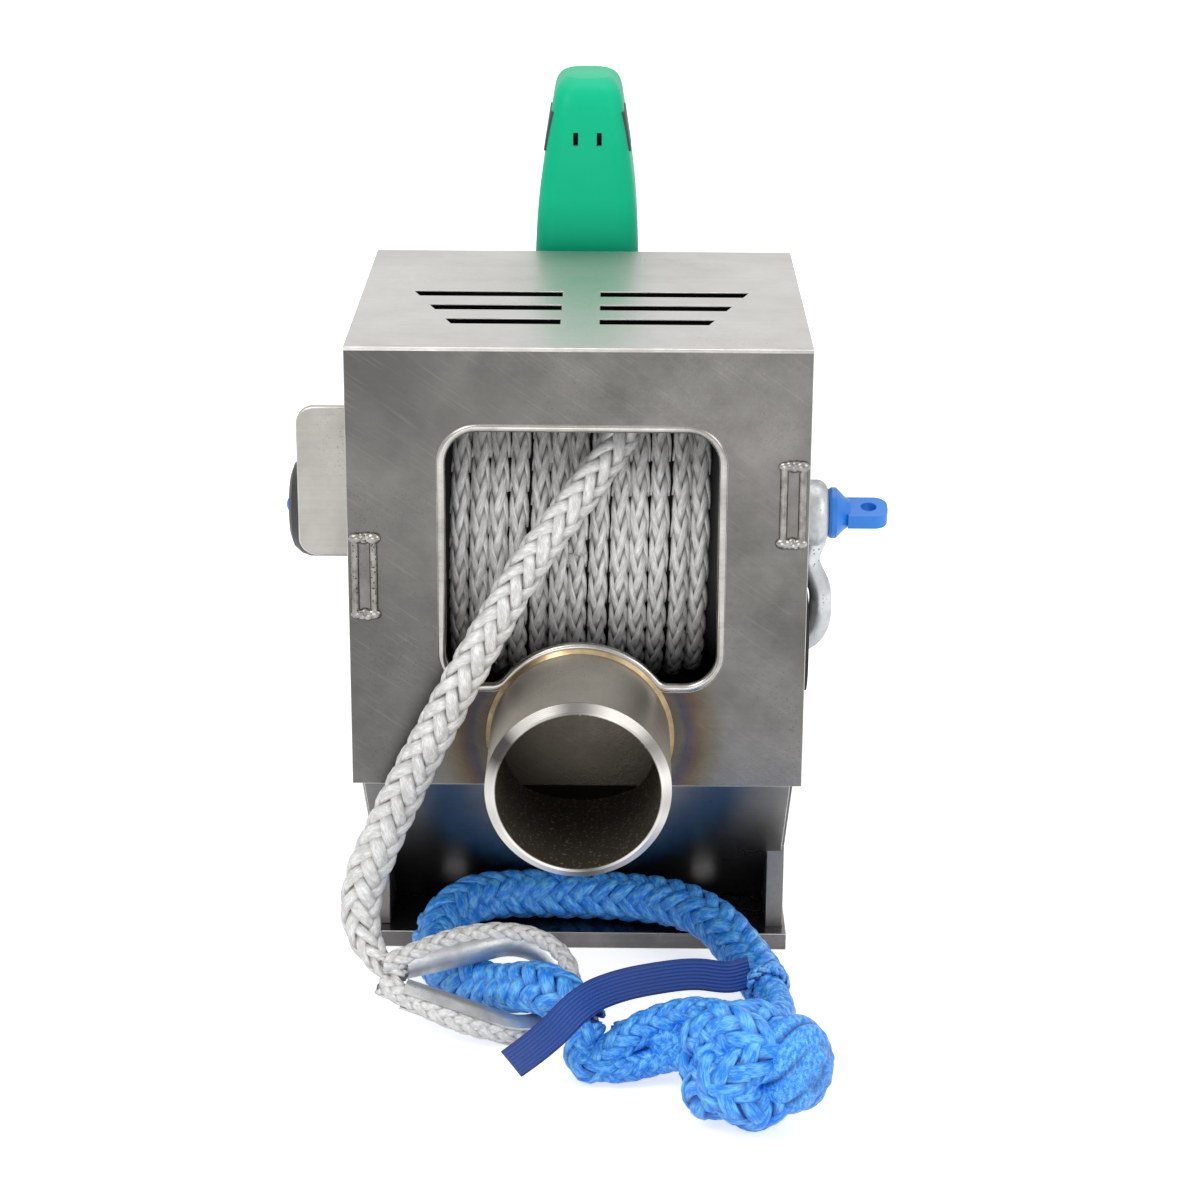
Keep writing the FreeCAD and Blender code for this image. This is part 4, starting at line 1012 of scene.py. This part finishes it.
# ---------------------------------------------------------------- steelwork
def crisp_copy(node, face, slot, bevel):
    """Plate with its cut edges eased; the eased edges show lighter metal with a painted
    highlight.
    """
    copy = linked(node + "_finished", NODES[node].data.copy())
    mesh = copy.data
    mesh.materials.clear()
    mesh.materials.append(face)
    mesh.materials.append(cut_edge_highlight)
    work = bmesh.new()
    work.from_mesh(mesh)
    bmesh.ops.remove_doubles(work, verts=work.verts, dist=1e-6)
    bmesh.ops.dissolve_limit(work, angle_limit=math.radians(0.6), verts=work.verts,
                             edges=work.edges)
    work.to_mesh(mesh)
    work.free()
    mesh.polygons.foreach_set("material_index", [0] * len(mesh.polygons))
    use(copy, "BEVEL", width=bevel * MM, segments=2, limit_method="ANGLE",
        angle_limit=math.radians(30), material=1)
    pick_only(copy)
    bpy.ops.object.shade_smooth_by_angle(angle=math.radians(35))
    for polygon in copy.data.polygons:
        if polygon.area > 20 * MM * MM and polygon.material_index == 0:
            polygon.use_smooth = False
    finished_as(copy, "frame", slot, node)


def tab_beads(name, x_mid, low, high):
    """Weld blobs that close the two ends of a tab, shaped from flattened balls."""
    chance = np.random.default_rng(int(low))
    made = []
    for z, side in ((low, -1), (high, 1)):
        for step in np.linspace(-1, 1, 4):
            size = 2.3 + chance.uniform(-0.25, 0.4) + 0.5 * (abs(step) > 0.6)
            bpy.ops.mesh.primitive_uv_sphere_add(
                segments=24, ring_count=12, radius=size * MM,
                location=((x_mid + 3.6 * step) * MM, -120.2 * MM,
                          (z + side * (1.5 - 1.1 * abs(step))) * MM))
            blob = bpy.context.active_object
            blob.scale = (1.15, 0.62 + chance.uniform(0, 0.15), 0.85)
            made.append(blob)
    pick_only(made[0])
    for blob in made:
        blob.select_set(True)
    bpy.ops.object.join()
    bead = bpy.context.active_object
    bpy.ops.object.transform_apply(location=True, rotation=True, scale=True)
    bead.name = name
    bead.data.materials.clear()
    bead.data.materials.append(bead_steel)
    bpy.ops.object.shade_smooth()
    finished_as(bead, "frame", "weld_steel")


# Each plate's finish, slot and the width of its eased edges in millimetres.
PLATES = {
    "front_plate": (front_steel, "front_steel", 0.5),
    "top_plate": (top_steel, "top_steel", 0.2),
    "apron_plate": (apron_steel, "sheet_steel", 0.4),
    "base_plate": (base_steel, "sheet_steel", 0.6),
    "side_plate_left": (side_steel, "sheet_steel", 0.6),
    "side_plate_right": (side_steel, "sheet_steel", 0.6),
    "rear_plate": (side_steel, "sheet_steel", 0.5),
    "guard_plate": (guard_steel, "guard_steel", 0.6),
}
# The nodes that keep their own mesh, by finish.
DRESSED = [
    (polished_steel, "window_rim"),
    (cut_edge_highlight, "corner_weld"),
    (pipe_steel, "rope_pipe"),
    (tinted_weld, "pipe_weld"),
    (weld_steel, "tab_weld_left", "tab_weld_right"),
    (bearing_metal, "bearing_left", "bearing_right"),
    (drive_metal, "gear_case", "motor_flange", "motor_body", "drum_core",
     "drum_flange_left", "drum_flange_right", "drum_shaft"),
    (galvanised_steel, "shackle_bow", "thimble"),
    (blue_paint, "shackle_pin"),
    (green_plastic, "motor_hood"),
    (grip_plastic, "hood_grip_left", "hood_grip_right"),
    (black_rubber, "hand_hole_trim"),
    (knob_plastic, "clutch_knob"),
    (cap_plastic, "knob_cap"),
]
for node, (face, slot, bevel) in PLATES.items():
    crisp_copy(node, face, slot, bevel)
tab_beads("tab_beads_left", -92.5, 182.4, 216.4)
tab_beads("tab_beads_right", 92.5, 216.2, 250.0)
for finish, *nodes in DRESSED:
    for node in nodes:
        dress(node, finish)


# ---------------------------------------------------------------- stage and light
def make_stage():
    """Pale floor that shows bright in reflections and to the camera."""
    material, tree, shader, _ = new_material(
        "studio_floor", Roughness=0.7, Base_Color=(0.9, 0.9, 0.9, 1),
        Specular_IOR_Level=0.2, Emission_Color=(1, 1, 1, 1))
    rays = put(tree, "LightPath").outputs
    seen = maths(tree, "MAXIMUM", rays["Is Glossy Ray"], rays["Is Transmission Ray"])
    glow = plus(tree, times(tree, seen, 0.42), times(tree, rays["Is Camera Ray"], 0.62))
    tree.links.new(glow, shader.inputs["Emission Strength"])
    bpy.ops.mesh.primitive_plane_add(size=16, location=(0, 2, -0.0002))
    floor = bpy.context.active_object
    floor.name = "studio_floor"
    floor.data.materials.append(material)


# Name, place, size and power of each lamp.
LAMPS = [("key", (-0.9, -1.1, 1.7), 1.1, 14.0), ("fill", (1.3, -1.0, 1.0), 0.9, 6.0),
         ("over", (0.1, 0.5, 1.9), 1.2, 9.0), ("low", (-0.15, -1.35, 0.30), 0.5, 1.8)]
LAMPS_AIM = Vector((0, -0.05, 0.15))


def make_light():
    world = bpy.data.worlds.new("studio")
    bpy.context.scene.world = world
    world.use_nodes = True
    tree = world.node_tree
    tree.nodes.clear()
    rays = put(tree, "LightPath").outputs
    seen = maths(tree, "MAXIMUM", rays["Is Camera Ray"], rays["Is Glossy Ray"])
    seen = maths(tree, "MAXIMUM", seen, rays["Is Transmission Ray"])
    light = put(tree, "Background", {"Color": (0.93, 0.95, 1.0, 1), "Strength": 0.62})
    white = put(tree, "Background", {"Color": (1, 1, 1, 1)})
    chosen = put(tree, "MixShader", {0: seen, 1: light.outputs[0], 2: white.outputs[0]})
    put(tree, "OutputWorld", {"Surface": chosen.outputs[0]})
    for name, at, size, power in LAMPS:
        lamp = bpy.data.lights.new(name, "AREA")
        lamp.shape = "SQUARE"
        lamp.size = size
        lamp.energy = power
        obj = linked(name, lamp)
        obj.location = at
        obj.rotation_euler = (LAMPS_AIM - Vector(at)).to_track_quat("-Z", "Y").to_euler()
    bpy.context.scene.view_settings.view_transform = "Standard"


make_stage()
make_light()
